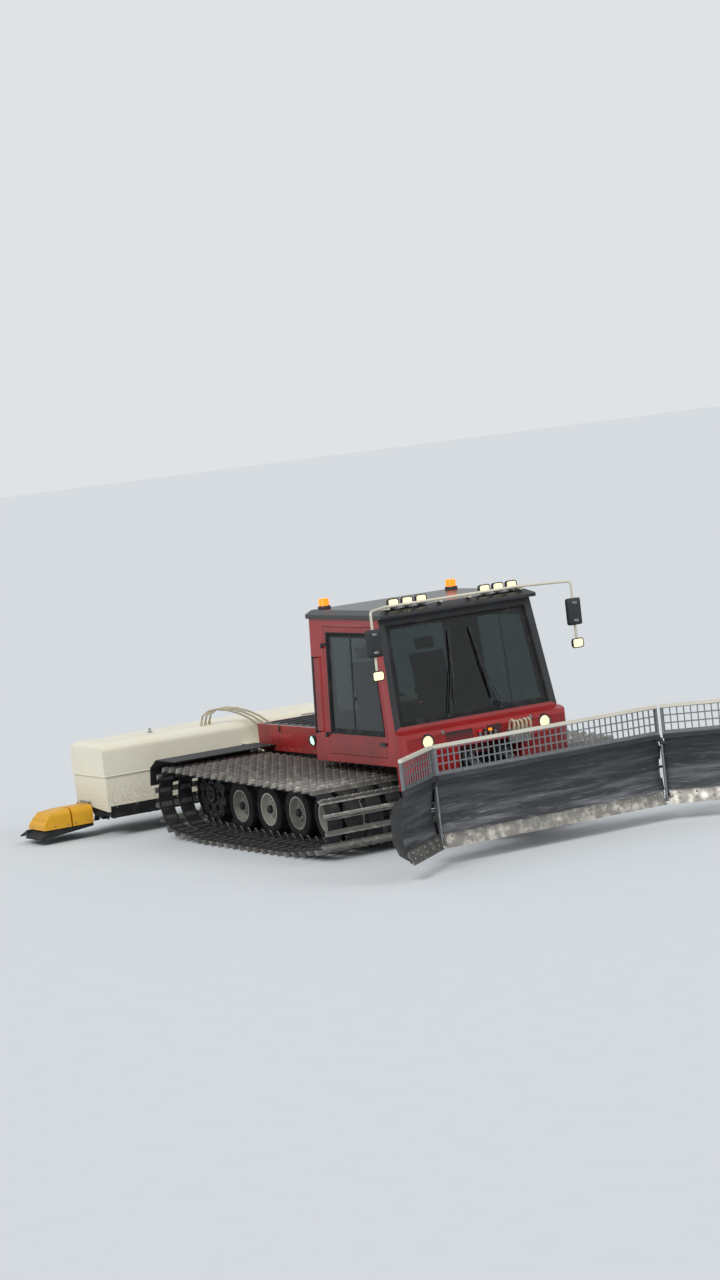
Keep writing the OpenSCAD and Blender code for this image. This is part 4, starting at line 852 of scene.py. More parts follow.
def makeWipers(w):
    shape = Shape("dark")
    for y in w["feet"]:
        lean = -w["tipIn"] if y > 0 else w["tipIn"]
        foot, tip = (y, w["footZ"]), (y + lean, w["tipZ"])
        shape.lathe([(0.03, 0), (0.03, 0.02), (0.02, 0.034), (0.008, 0.04)], onScreen(*foot, -0.02),
                    (1, 0, 0.18), 18)
        for d in (-0.016, 0.016):
            shape.tube([onScreen(foot[0] + d, foot[1], 0.016), onScreen(foot[0] + d + lean * 0.5, 1.73, 0.03),
                        onScreen(tip[0] + d, tip[1], 0.012)], 0.006, 8)
        half = w["blade"] / 2
        slant = lean * 0.35
        bow = [onScreen(tip[0] + slant * t, tip[1] + half * t, 0.008 + 0.012 * (1 - t * t))
               for t in (-1, -0.5, 0, 0.5, 1)]
        shape.tube(bow, 0.006, 6)
        rubberEdge = [onScreen(tip[0] + slant * t, tip[1] + half * t, -0.012) for t in (-1, -0.5, 0, 0.5, 1)]
        shape.use("seal").tube(rubberEdge, 0.006, 6)
        for t in (-0.8, -0.3, 0.3, 0.8):
            p = onScreen(tip[0] + slant * t, tip[1] + half * t, -0.004)
            shape.box((p[0] - 0.012, p[1] - 0.009, p[2] - 0.012), (p[0] + 0.014, p[1] + 0.009, p[2] + 0.012),
                      chamfer=0.003)
        shape.use("dark")
    shape.piece("wipers", angle=40)


makeWipers(wiper)

# lamps: middles of the lenses, half sizes and depths; the rear work lamps shine along rearAim
lampKit = {"roof": [(1.8795, 0.82 - 0.19 * i, 2.8555) for i in range(3)], "roofHalf": (0.075, 0.056),
           "roofDepth": 0.082,
           "mirror": (2.3245, 1.38, 2.09), "mirrorHalf": (0.078, 0.058), "head": (2.2365, 0.81, 1.235),
           "headR": 0.0795, "rear": (0.118, 1.085, 1.22), "rearR": 0.066, "rearAim": (0.12, 0.99, -0.1)}


def squareLamp(shape, at, half, depth):
    x, y, z = at
    a, b = half

    def loop(inset, back, cut):
        u, v = a - inset, b - inset
        flat = [(-u + cut, -v), (u - cut, -v), (u, -v + cut), (u, v - cut), (u - cut, v), (-u + cut, v),
                (-u, v - cut), (-u, -v + cut)]
        return [(x - back, y + p, z + q) for p, q in flat]
    shape.use("dark").rings([loop(0.03, depth, 0.012), loop(0.008, depth * 0.75, 0.02),
                             loop(0, depth * 0.4, 0.02),
                             loop(0, 0.004, 0.02), loop(0.003, 0, 0.019), loop(0.009, 0, 0.016),
                             loop(0.011, 0.01, 0.015)])
    shape.use("clear").rings([loop(0.0105, 0.009, 0.015), loop(0.0105, 0.004, 0.015),
                              loop(0.03, 0.001, 0.01)])
    shape.use("lit").rings([loop(0.012, 0.0097, 0.015), loop(0.012, 0.0103, 0.015)])
    for k in range(4):
        zc = z - b * 0.7 + b * 1.4 * k / 3
        shape.use("dark").box((x - depth, y - a * 0.7, zc - 0.003),
                              (x - depth * 0.8, y + a * 0.7, zc + 0.003))


def roundLamp(shape, at, axis, r, depth, lens, rim="zinc"):
    back = Vector(at)
    shape.use("dark").lathe([(r * 0.5, 0.0), (r * 0.9, depth * 0.15), (r * 0.97, depth * 0.5)],
                            back, axis, 40)
    shape.use(rim).lathe([(r * 0.97, depth * 0.5), (r, depth * 0.62), (r, depth * 0.9), (r * 0.97, depth),
                          (r * 0.9, depth * 0.98), (r * 0.86, depth * 0.86), (r * 0.86, depth * 0.5)],
                         back, axis, 40)
    shape.use(lens).lathe([(r * 0.86, depth * 0.6), (r * 0.5, depth * 0.5), (r * 0.2, depth * 0.46)],
                          back, axis, 40)
    shape.use("clear").lathe([(r * 0.87, depth * 0.84), (r * 0.7, depth * 0.92), (r * 0.35, depth * 0.97),
                              (r * 0.05, depth * 0.985)], back, axis, 40)


def makeLamps(k):
    shape = Shape("dark")
    for at in k["roof"]:
        squareLamp(shape, at, k["roofHalf"], k["roofDepth"])
        shape.use("zinc").box((at[0] - 0.06, at[1] - 0.02, cab["roof"] + 0.0006),
                              (at[0] - 0.02, at[1] + 0.02, at[2] - 0.05), chamfer=0.004)
        for s in (-1, 1):
            shape.use("bolt").bolt((at[0] - 0.04, at[1] + s * 0.0755, at[2]), (0, s, 0), 0.008, False)
    squareLamp(shape, k["mirror"], k["mirrorHalf"], 0.066)
    roundLamp(shape, k["head"], alongX, k["headR"], 0.063, "lit")
    x, y, z = k["rear"]
    roundLamp(shape, (x, y, z), k["rearAim"], k["rearR"], 0.076, "litCool", "dark")
    shape.use("zinc").box((x, y - 0.03, z - 0.012), (cab["rear"] - 0.0006, y - 0.002, z + 0.012),
                          chamfer=0.003)
    shape.box((cab["rear"] - 0.008, y - 0.05, z - 0.04), (cab["rear"] - 0.0005, y + 0.02, z + 0.04),
              chamfer=0.003)
    shape.mirrored().piece("lampSet", replaces=["lamps"], angle=35)


makeLamps(lampKit)

beacon = {"x": 0.35, "y": 0.9, "base": 0.079, "lens": 0.0645, "foot": 0.04, "tall": 0.1295,
          "boltRing": 0.0725}


def makeBeacons(b):
    shape = Shape("dark")
    at = (b["x"], b["y"], cab["roof"] + 0.0005)
    shape.lathe([(b["base"], 0), (b["base"], 0.02), (b["base"] * 0.94, 0.032), (b["lens"] * 1.05, 0.038),
                 (b["lens"] * 1.05, b["foot"])], at, steps=40)
    outline = [(b["lens"], b["foot"])]
    for k in range(9):  # ribbed lens
        h = b["foot"] + (b["tall"] - b["foot"] - 0.018) * k / 9
        outline += [(b["lens"], h + 0.002), (b["lens"] - 0.0022, h + 0.004), (b["lens"] - 0.0022, h + 0.0065),
                    (b["lens"], h + 0.0085)]
    outline += [(b["lens"] - 0.004, b["tall"] - 0.012), (b["lens"] - 0.02, b["tall"] - 0.003),
                (0.004, b["tall"])]
    shape.use("amber").lathe(outline, at, steps=40)
    shape.use("bolt")
    for k in range(3):
        a = 2.1 * k + 0.4
        shape.bolt((b["x"] + b["boltRing"] * math.cos(a), b["y"] + b["boltRing"] * math.sin(a),
                    at[2] + 0.021), alongZ, 0.005, False)
    shape.mirrored().piece("beaconPair", replaces=["beacons"], angle=50)


makeBeacons(beacon)

mirror = {"x": (2.2725, 2.314), "y": (1.29, 1.47), "z": (2.31, 2.62), "arm": 1.38}


def makeMirrors(m):
    (x0, x1), (y0, y1), (z0, z1) = m["x"], m["y"], m["z"]
    ym, zm, a, b = (y0 + y1) / 2, (z0 + z1) / 2, (y1 - y0) / 2, (z1 - z0) / 2

    def loop(grow, x, cut=0.03, steps=5):
        u, v = a + grow, b + grow
        ring = []
        for k in range(4 * steps):
            q, t = divmod(k, steps)
            t = math.radians(90 * q + 90 * t / (steps - 1))
            cx, cz = (u - cut, -u + cut, -u + cut, u - cut)[q], (v - cut, v - cut, -v + cut, -v + cut)[q]
            ring.append((x, ym + cx + cut * math.cos(t), zm + cz + cut * math.sin(t)))
        return ring
    shape = Shape("dark").rings([loop(-0.03, x1 + 0.016), loop(-0.008, x1 + 0.012), loop(0.004, x1 - 0.004),
                                 loop(0.005, x0 - 0.004), loop(0.001, x0 - 0.009), loop(-0.006, x0 - 0.009),
                                 loop(-0.008, x0 - 0.003)])
    shape.use("mirror").rings([loop(-0.0078, x0 - 0.0035), loop(-0.0078, x0 - 0.0045)])
    shape.use("bolt")
    for z in (2.36, 2.57):  # clamps on the tube
        shape.use("zinc").box((x0 - 0.002, m["arm"] - 0.03, z - 0.016),
                              (x1 + 0.026, m["arm"] + 0.03, z + 0.016), chamfer=0.006)
        for s in (-1, 1):
            shape.use("bolt").bolt((x1 + 0.0265, m["arm"] + s * 0.02, z), alongX, 0.006)
    shape.mirrored().piece("mirrorShells", angle=40)


makeMirrors(mirror)
refinish("mirror_arms", "dark",
         lambda c: abs(c.y) > 1.2 and 2.305 < c.z < 2.625 and abs(abs(c.y) - 1.38) > 0.02)

for name in ("door_left", "door_right", "cab_frame"):
    refinish(name, "frame", lambda c: 0.3 < c.x < 1.95 and offWall(c) > 0.0012)
refinish("cab_frame", "dash", lambda c: 0.23 < c.x < 2.06 and offWall(c) < -0.03 and c.z > 1.03)
for name in ("door_left", "door_right"):
    refinish(name, "dash", lambda c: offWall(c) < -0.045)

# nose: vents, shut lines, catches and the couplings of the front tool
nose = {"front": 2.29, "ventY": (-0.56, -0.2), "ventZ": (1.2, 1.3), "slats": 6}


def makeNose(n):
    shape = Shape("dark")
    for y0, y1 in (n["ventY"], (0.0, 0.2)):
        for k in range(n["slats"]):
            z = n["ventZ"][0] + (n["ventZ"][1] - n["ventZ"][0]) * (k + 0.5) / n["slats"]
            slat = [(n["front"] - 0.004, z - 0.007), (n["front"] + 0.005, z - 0.009),
                    (n["front"] + 0.0065, z - 0.006), (n["front"] - 0.002, z + 0.005)]
            shape.prism(slat, y0 + 0.012, y1 - 0.012, "xz")
        rim = [(y0, n["ventZ"][0] - 0.008), (y1, n["ventZ"][0] - 0.008), (y1, n["ventZ"][1] + 0.008),
               (y0, n["ventZ"][1] + 0.008)]
        bandLoop(shape, rim, lambda y, z, h: (n["front"] + 0.0004 + h, y, z),
                 [(0, 0), (0.002, 0.004), (0.009, 0.004), (0.012, 0)])
    shape.use("seal")
    for y in (-0.66, 0.66):  # hood's shut lines
        shape.box((n["front"] - 0.03, y - 0.003, 1.165), (n["front"] + 0.0012, y + 0.003, 1.3))
    shape.use("zinc")
    for y in (-0.6, 0.62):
        shape.box((n["front"] - 0.002, y - 0.018, 1.29), (n["front"] + 0.012, y + 0.018, 1.34), chamfer=0.004)
        shape.use("bolt").bolt((n["front"] + 0.012, y, 1.303), alongX, 0.006).use("zinc")
    shape.use("cream").box((2.298, -0.15, 1.165), (2.338, 0.15, 1.195), chamfer=0.006)  # coupling bar
    for k, y in enumerate((-0.11, -0.04, 0.03, 0.1)):
        shape.use("zinc").lathe([(0.019, 0), (0.019, 0.018), (0.015, 0.02), (0.015, 0.036), (0.021, 0.038),
                                 (0.021, 0.056), (0.012, 0.06)], (2.318, y, 1.194), alongZ, 18)
        # painted light: the coupling caps take the glowing tail and amber lens finishes, so they shine though
        # they are no lamps
        shape.use(("tail", "dark", "amber", "dark")[k]).lathe([(0.0225, 0.055), (0.0225, 0.074),
                                                               (0.017, 0.08), (0.003, 0.081)],
                                                              (2.318, y, 1.194), alongZ, 18)
    shape.piece("noseFittings", angle=40)
    rims = Shape("dark")  # bezel round each headlight
    rims.lathe([(0.0815, -0.01), (0.0815, 0.03), (0.085, 0.034), (0.091, 0.03), (0.093, 0.0)],
               (2.262, *lampKit["head"][1:]), alongX, 44)
    rims.use("seal").box((2.14, 0.42, 1.1312), (2.31, 0.45, 1.1345))
    rims.mirrored().piece("headlightRims", angle=40)


makeNose(nose)
refinish("front_hoses", "zinc", lambda c: c.x < 2.4055 and c.z < 1.2215)
refinish("tiller_arm", "cream", lambda c: -3.145 < c.x < -2.945 and abs(c.y) < 0.16 and c.z > 0.684)
print("cab dressed")

# driver's place
seat = {"x": 0.56, "ys": (0.35, -0.48), "half": 0.25, "deep": 0.54, "floor": 1.045, "base": 0.25,
        "cushion": 0.4, "back": 1.08, "head": 1.25, "rake": 10.0}


# a stuffed pad: a box with round corners, a crown, sides that pull in and sewn channels
def pad(name, finish, low, high, round, crown, pull, channels, face=2, turn=None, about=(0, 0, 0), cuts=22):
    low, high = Vector(low), Vector(high)
    mid, half = (low + high) / 2, (high - low) / 2
    grid = bmesh.new()
    bmesh.ops.create_cube(grid, size=2)
    bmesh.ops.subdivide_edges(grid, edges=grid.edges[:], cuts=cuts, use_grid_fill=True)
    across = [i for i in range(3) if i != face]
    for v in grid.verts:
        unit = v.co.copy()
        flat = Vector([unit[i] * half[i] for i in range(3)])
        core = Vector([max(-half[i] + round, min(half[i] - round, flat[i])) for i in range(3)])
        away = flat - core
        p = core + away.normalized() * round if away.length > 1e-6 else flat
        a, b = (1 - min(1, abs(p[i]) / half[i]) ** 2 for i in across)
        side = 1 if p[face] > 0 else 0
        p[face] += side * crown * (a * b) ** 0.6 - side * crown * 0.5
        for i, other in (across, across[::-1]):
            p[i] *= 1 - pull / half[i] * (1 - (p[other] / half[other]) ** 2) * abs(unit[i]) ** 4
        for axis, place, deep, width in channels:
            if side:
                p[face] -= deep * math.exp(-((p[axis] + mid[axis] - place) / width) ** 2)
        p += mid
        v.co = Vector(about) + turn @ (p - Vector(about)) if turn else p
    mesh = bpy.data.meshes.new(name)
    bmesh.ops.recalc_face_normals(grid, faces=grid.faces)
    grid.to_mesh(mesh)
    grid.free()
    mesh.materials.append(finishes[finish].material)
    mesh.polygons.foreach_set("use_smooth", [True] * len(mesh.polygons))
    made = placed(name, mesh)
    smooth = made.modifiers.new("softer", "SUBSURF")
    smooth.levels = smooth.render_levels = 1
    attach(made, "root")
    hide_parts("seats")
    return made


def makeSeats(s):
    frames = Shape("dark")
    for k, y in enumerate(s["ys"]):
        x, f, w = s["x"], s["floor"], s["half"]
        word = ("driver", "passenger")[k]
        lean = Matrix.Rotation(math.radians(-s["rake"]), 3, "Y")
        about = (x + 0.06, y, f + s["cushion"])
        pad(word + "Cushion", "seat", (x + 0.01, y - w, f + s["base"] + 0.02),
            (x + s["deep"] - 0.01, y + w, f + s["cushion"] + 0.005), 0.05, 0.03, 0.014,
            [(0, x + 0.22, 0.009, 0.012), (0, x + 0.38, 0.009, 0.012), (1, y - 0.16, 0.012, 0.014),
             (1, y + 0.16, 0.012, 0.014)])
        pad(word + "Back", "seat", (x + 0.005, y - w + 0.01, f + s["cushion"] - 0.02),
            (x + 0.125, y + w - 0.01, f + s["back"] - 0.01), 0.045, 0.025, 0.012,
            [(2, f + 0.62, 0.008, 0.012), (2, f + 0.82, 0.008, 0.012), (1, y - 0.15, 0.012, 0.014),
             (1, y + 0.15, 0.012, 0.014)], 0, lean, about)
        pad(word + "Head", "vinyl", (x + 0.012, y - 0.13, f + s["back"] + 0.02),
            (x + 0.1, y + 0.13, f + s["head"]),
            0.035, 0.014, 0.008, [(1, y, 0.005, 0.01)], 0, lean, about, 14)
        frames.use("dark").box((x + 0.08, y - 0.18, f + 0.0006), (x + 0.46, y + 0.18, f + 0.03),
                               chamfer=0.006)
        for n in range(5):  # bellows of the sprung base
            z = f + 0.035 + n * 0.036
            ring = [[(x + 0.27 + sx * (0.17 + d), y + sy * (0.16 + d), z + h)
                     for sx, sy in ((1, 1), (-1, 1), (-1, -1), (1, -1))]
                    for d, h in ((-0.02, 0), (0.008, 0.018), (-0.02, 0.036))]
            frames.use("seal").rings(ring)
        frames.use("dark").box((x + 0.02, y - 0.22, f + 0.215), (x + 0.5, y + 0.22, f + 0.262), chamfer=0.012)
        for side in (-1, 1):  # headrest posts and armrests
            post = [about[0] - 0.005 - 0.115, y + side * 0.06, f + s["back"] - 0.03]
            frames.use("chrome").tube([post, (post[0] - 0.012, post[1], post[2] + 0.07)], 0.007, 10)
            arm = Vector((x + 0.02, y + side * (w - 0.005), f + 0.6))
            frames.use("vinyl").box((arm.x, arm.y - 0.02, arm.z), (arm.x + 0.3, arm.y + 0.02, arm.z + 0.04),
                                    chamfer=0.014)
            frames.use("dark").box((arm.x - 0.035, arm.y - 0.012, arm.z - 0.02),
                                   (arm.x + 0.03, arm.y + 0.012, arm.z + 0.03), chamfer=0.006)
    frames.piece("seatFrames", replaces=["seats"], bevel=0.002)


makeSeats(seat)

controls = {"floor": 1.0455, "consoleX": (0.56, 1.18), "consoleY": (-0.12, 0.06), "consoleTop": 0.48,
            "column": (1.48, 0.35), "wheelZ": 0.575, "wheelR": 0.175, "grip": 0.016, "tilt": -25.0}


def makeControls(c):
    f = c["floor"]
    shape = Shape("dash")
    (x0, x1), (y0, y1) = c["consoleX"], c["consoleY"]
    outline = [(x0, f), (x1, f), (x1, f + c["consoleTop"] - 0.1), (x1 - 0.12, f + c["consoleTop"]),
               (x0, f + c["consoleTop"])]
    shape.prism(outline, y0, y1)
    shape.use("dark").box((x0 + 0.06, y0 + 0.015, f + c["consoleTop"]),
                          (x0 + 0.3, y1 - 0.015, f + c["consoleTop"] + 0.006))
    for i in range(5):
        for j in range(3):
            shape.use(("dark", "zinc", "amber")[(i + 2 * j) % 3] if i == 4 else "dark")
            shape.box((x0 + 0.075 + i * 0.045, y0 + 0.03 + j * 0.045, f + c["consoleTop"] + 0.006),
                      (x0 + 0.1 + i * 0.045, y0 + 0.055 + j * 0.045, f + c["consoleTop"] + 0.014),
                      chamfer=0.003)
    stick = Vector((1.09, -0.03, f + c["consoleTop"]))
    shape.use("seal").lathe([(0.045, 0), (0.045, 0.008), (0.036, 0.02), (0.039, 0.03), (0.028, 0.042),
                             (0.03, 0.052), (0.018, 0.066), (0.014, 0.09)], stick, steps=24)
    shape.use("dark").lathe([(0.012, 0.06), (0.02, 0.1), (0.024, 0.13), (0.02, 0.16), (0.027, 0.19),
                             (0.026, 0.202), (0.014, 0.21)],
                            stick, (-0.1, 0, 1), 20)
    for k in range(3):
        shape.use("amber" if k == 1 else "zinc").lathe([(0.005, 0), (0.005, 0.006), (0.003, 0.008)],
                                                       stick + Vector((-0.028, -0.014 + 0.014 * k, 0.207)),
                                                       steps=10)
    cx, cy = c["column"]
    shape.use("dark").lathe([(0.06, 0), (0.06, 0.02), (0.044, 0.06), (0.036, 0.3), (0.04, 0.5),
                             (0.03, 0.555)], (cx, cy, f), steps=28)
    tilt = Matrix.Rotation(math.radians(c["tilt"]), 3, "Y")
    centre = Vector((cx, cy, f + c["wheelZ"]))
    ring = [centre + tilt @ Vector((c["wheelR"] * math.cos(t), c["wheelR"] * math.sin(t), 0)) for t in
            spokes(48)]
    shape.use("vinyl").tube(ring, c["grip"], 12, looped=True)
    for a in (90, 210, 330):
        d = Vector((math.cos(math.radians(a)), math.sin(math.radians(a)), 0))
        w = Vector((-d.y, d.x, 0)) * 0.016
        ends = [[centre + tilt @ (d * r + s * w * k + Vector((0, 0, z)))
                 for s, z in ((-1, -0.004), (1, -0.004), (1, 0.004), (-1, 0.004))]
                for r, k in ((0.03, 1.4), (0.1, 0.8), (0.165, 1.0))]
        shape.use("zinc").rings(ends)
    shape.use("dark").lathe([(0.05, -0.02), (0.052, 0.004), (0.046, 0.014), (0.02, 0.019), (0.002, 0.02)],
                            centre, tilt @ Vector(alongZ), 28)
    for y, wide in ((0.22, 0.05), (0.44, 0.035)):  # pedals
        plate = [(1.7, f + 0.07), (1.71, f + 0.072), (1.79, f + 0.2), (1.78, f + 0.205)]
        shape.use("seal").prism(plate, y - wide, y + wide)
        shape.use("zinc").tube([(1.76, y, f + 0.15), (1.84, y, f + 0.19), (1.87, y, f + 0.28)], 0.009, 8)
    shape.use("dark").tube(rounded([(1.9, -0.05, 1.355), (1.82, -0.05, 1.44), (1.76, -0.02, 1.49)], 0.04),
                           0.011, 10)
    panel = Matrix.Rotation(math.radians(-14), 3, "Y")
    spot = Vector((1.75, -0.02, 1.5))
    corners = [(-0.014, -0.14, -0.09), (0.016, 0.14, 0.09)]
    shape.use("dark").add([spot + panel @ Vector([corners[end][axis] for axis, end in enumerate(ends)])
                           for ends in product((0, 1), repeat=3)], blockFaces)
    shape.use("display").add([spot + panel @ Vector((-0.0152, y, z))
                              for y, z in ((-0.125, -0.075), (0.125, -0.075), (0.125, 0.075),
                                           (-0.125, 0.075))],
                             [(0, 1, 2, 3)])
    for k, y in enumerate((0.2, 0.3, 0.4, 0.5)):  # round gauges before the driver
        shape.use("dark").lathe([(0.038, 0), (0.038, 0.014), (0.034, 0.016), (0.033, 0.008)],
                                (1.73 + 0.02 * (k % 2), y, 1.352), (-0.45, 0, 0.9), 24)
        shape.use("display").lathe([(0.0335, 0.006), (0.0335, 0.007)], (1.73 + 0.02 * (k % 2), y, 1.352),
                                   (-0.45, 0, 0.9), 24)
    shape.piece("controlSet", replaces=["controls"], angle=38)


makeControls(controls)
print("driver's place made")

# blade: cutting edge, bolts and hinge pins
blade = {"x": 3.6, "r": 0.85, "mid": 0.6, "half": 1.53, "boltZ": (0.262, 0.322), "top": 1.02,
         "hinge": (3.592, 1.538), "wing": 1.05, "fold": 40.0, "knuckles": (0.235, 0.9045), "knuckleH": 0.0605}
bladeFocus = blade["x"] + math.sqrt(blade["r"] ** 2 - 0.38 ** 2)


def bladeX(z, off=0.0):
    return bladeFocus - math.sqrt((blade["r"] + off) ** 2 - (z - blade["mid"]) ** 2)


def aboutHinge(x, y, degrees):
    (hx, hy), a = blade["hinge"], math.radians(degrees)
    x, y = x - hx, y - hy
    return hx + x * math.cos(a) - y * math.sin(a), hy + x * math.sin(a) + y * math.cos(a)


def wingSpot(p):  # from the straight wing's place to the folded one
    return (*aboutHinge(p[0], p[1], -blade["fold"]), p[2])


def straightSpot(c):  # and back, from either side
    return Vector((*aboutHinge(c.x, abs(c.y), blade["fold"]), c.z))


def bladeTrim(y0, y1, place):
    shape = Shape("edge")
    for half in (0, 1):  # two bolted edge sections
        a = y0 + (y1 - y0) * half / 2 + (0.002 if half else 0)
        b = y0 + (y1 - y0) * (half + 1) / 2
        outline = [(0.2003, -0.0142), (0.25, -0.0215), (0.335, -0.0215), (0.348, -0.0142)]
        shape.rings([[place((bladeX(z, off), y, z)) for z, off in outline] for y in (a, b)])
    count = round((y1 - y0) / 0.19)
    for k in range(count):
        y = y0 + (y1 - y0) * (k + 0.5) / count
        for z in blade["boltZ"]:
            at = place((bladeX(z, -0.0216), y, z))
            ahead = Vector(place((bladeX(z, -0.0216) + 1, y, z + (blade["mid"] - z) / 0.8))) - Vector(at)
            shape.use("bolt").lathe([(0.0165, 0), (0.016, 0.003), (0.011, 0.007), (0.004, 0.009)],
                                    at, ahead, 10)
    n = round((y1 - y0) / 0.3)
    for k in range(n + 1):  # guard's frame bolts
        y = y0 + 0.04 + (y1 - y0 - 0.08) * k / n
        at = place((blade["x"] + 0.003, y, blade["top"] + 0.016))
        shape.use("bolt").bolt(at,
                               Vector(place((blade["x"] + 1, y, blade["top"] + 0.016))) - Vector(at), 0.009)
    shape.use("frame")  # weld line under the top rail
    shape.tube([place((bladeX(0.969) + 0.002, y0 + 0.002, 0.968)),
                place((bladeX(0.969) + 0.002, y1 - 0.002, 0.968))], 0.005, 6)
    return shape


main = bladeTrim(-blade["half"] + 0.045, blade["half"] - 0.045, lambda p: p)
main.piece("bladeEdge", "blade", angle=40)
for side, word in sides:
    y0, y1 = blade["hinge"][1] + 0.05, blade["hinge"][1] + blade["wing"]
    bladeTrim(y0, y1 - 0.002, wingSpot).piece("wingEdge" + word.title(), "wing_" + word, side=side, angle=40)
    pins = Shape("zinc")
    for z in blade["knuckles"]:
        top = (blade["hinge"][0], blade["hinge"][1], z + blade["knuckleH"] + 0.0005)
        pins.lathe([(0.0205, 0), (0.0205, 0.006), (0.014, 0.012), (0.002, 0.013)], top, steps=20)
        pins.use("bolt").lathe([(0.006, 0.012), (0.006, 0.019), (0.003, 0.021)], top, steps=8).use("zinc")
    pins.piece("hingePins" + word.title(), "wing_" + word, side=side)
for side, word in sides:
    main = Shape("zinc")
    main.lathe([(0.016, blade["knuckles"][0] + blade["knuckleH"] + 0.001),
                (0.016, blade["knuckles"][1] - 0.001)],
               (blade["hinge"][0], side * blade["hinge"][1], 0), steps=20)
    flap = [(0.023, 1.518), (0.023, 1.566), (0.029, 1.566), (0.029, 1.518)]
    for low, high in ((0.36, 0.5), (0.72, 0.88)):
        main.use("seal").rings([[(bladeX(z, off), side * y, z) for off, y in flap] for z in
                                (low + (high - low) * k / 4 for k in range(5))])
    main.piece("hingeRod" + word.title(), "blade")
for name in ("wing_left", "wing_right"):
    refinish(name, "bladeWorn", lambda c: c.z < blade["top"] and straightSpot(c).x > bladeX(c.z, 0.004))
    refinish(name, "mesh", lambda c: c.z > blade["top"] + 0.0002)
    refinish(name, "edge", lambda c: c.z < 0.352 and straightSpot(c).x > bladeX(c.z, -0.002))
refinish("blade", "bladeWorn", lambda c: 0.2 < c.z < 1.03 and c.x > bladeX(c.z, 0.004))
refinish("blade", "edge", lambda c: c.z < 0.352 and c.x > bladeX(c.z, -0.002))
refinish("blade", "zinc", lambda c: 3.09 < c.x < 3.425 and abs(c.y) < 0.07 and 0.44 < c.z < 0.58)
print("blade dressed")


# pins, ports and pipes of the linkage
def capAt(shape, at, axis, r):
    shape.use("zinc").lathe([(r, 0), (r, 0.007), (r * 0.86, 0.011), (r * 0.3, 0.012)], at, axis, 24)
    side = Vector(axis).orthogonal().normalized()
    for k in (-1, 1):
        shape.use("bolt").bolt(Vector(at) + side * r * 0.55 * k + Vector(axis).normalized() * 0.0115, axis,
                               r * 0.14, False)


linkage = {"lift": ((2.16, 0.24, 1.0), (2.8, 0.24, 0.64), 0.048, 0.47),
           "angle": ((2.38, 0.3, 0.6525), (3.14, 0.52, 0.6525), 0.042, 0.5),
           "tiller": ((-2.35, 0.23, 0.99), (-3.0, 0.23, 0.7), 0.045, 0.43)}


def barrelTrim(name, body, spec, side=1, both=False):
    base, eye, r, length = Vector(spec[0]), Vector(spec[1]), spec[2], spec[3]
    along = (eye - base).normalized()
    up = Vector(alongZ)
    rise = (up - along * along.dot(up)).normalized()
    shape = Shape("zinc")
    for d in (0.085, length - 0.055):
        at = base + along * d + rise * (r - 0.002)
        shape.use("zinc").lathe([(0.016, 0), (0.016, 0.014), (0.012, 0.016), (0.012, 0.026)], at, rise, 6)
    pipe = [base + along * 0.085 + rise * (r + 0.022), base + along * 0.12 + rise * (r + 0.024),
            base + along * (length - 0.1) + rise * (r + 0.024),
            base + along * (length - 0.055) + rise * (r + 0.022)]
    shape.use("zinc").tube(rounded(pipe, 0.02, 3), 0.0065, 10)
    for d in (0.2, length - 0.15):
        at = base + along * d
        shape.use("dark").lathe([(r + 0.0015, -0.012), (r + 0.0035, -0.01), (r + 0.0035, 0.01),
                                 (r + 0.0015, 0.012)], at, along, 32)
    shape.use("seal").lathe([(r * 0.62, length + 0.0006), (r * 0.9, length + 0.0006),
                             (r * 0.86, length + 0.006), (r * 0.62, length + 0.007)],
                            base, along, 28)
    for a in spokes(8):  # gland's wrench flats
        spin = Matrix.Rotation(a, 3, along) @ rise
        shape.use("bolt").lathe([(0.0045, 0), (0.0045, 0.003)],
                                base + along * (length - 0.02) + spin * (r + 0.0045), spin, 8)
    if both:
        shape.mirrored()
    return shape.piece(name, body, side=side, angle=40)


barrelTrim("liftPipes", "lift_barrels", linkage["lift"], both=True)
barrelTrim("tillerPipes", "tiller_barrels", linkage["tiller"], both=True)
for side, word in sides:
    barrelTrim("anglePipes" + word.title(), "angle_barrel_" + word, linkage["angle"], side)
pins = Shape("zinc")
for at, r in (((2.15, 0.4705, 0.48), 0.034), ((2.16, 0.322, 1.0), 0.024),
              ((-2.34, 0.3905, 0.52), 0.034), ((-2.35, 0.3105, 0.99), 0.024)):
    capAt(pins, at, alongY, r)
pins.mirrored().piece("hullPins")
pins = Shape("zinc")
capAt(pins, (2.38, 0.3, 0.7081), alongZ, 0.019)
pins.mirrored()
capAt(pins, (2.95, 0, 0.6062), alongZ, 0.043)
pins.piece("frameCaps", "push_frame")
print("linkage dressed")

# running gear: bolts on sprockets and drives
gear = {"at": (-2.01, 0.5), "y": 1.43, "hub": 1.5352, "disc": 1.5052, "drive": 0.67, "driveRing": 0.18,
        "driveBolts": 14,
        "rings": ((0.085, "hub", 8, 0), (0.145, "disc", 12, 0.26), (0.268, "disc", 12, 0.13))}
shape = Shape("bolt")
for r, face, n, turn in gear["rings"]:
    for a in (spoke + turn for spoke in spokes(n)):
        shape.bolt((gear["at"][0] + r * math.cos(a), gear[face], gear["at"][1] + r * math.sin(a)),
                   alongY, 0.009)
shape.use("dark").lathe([(0.05, 0), (0.05, 0.008), (0.04, 0.016), (0.012, 0.02)],
                        (gear["at"][0], gear["hub"], gear["at"][1]), alongY, 28)
for a in spokes(gear["driveBolts"]):
    shape.use("bolt").bolt((gear["at"][0] + gear["driveRing"] * math.cos(a), gear["drive"] + 0.0005,
                            gear["at"][1] + gear["driveRing"] * math.sin(a)), alongY, 0.009)
shape.mirrored().piece("sprocketBolts")

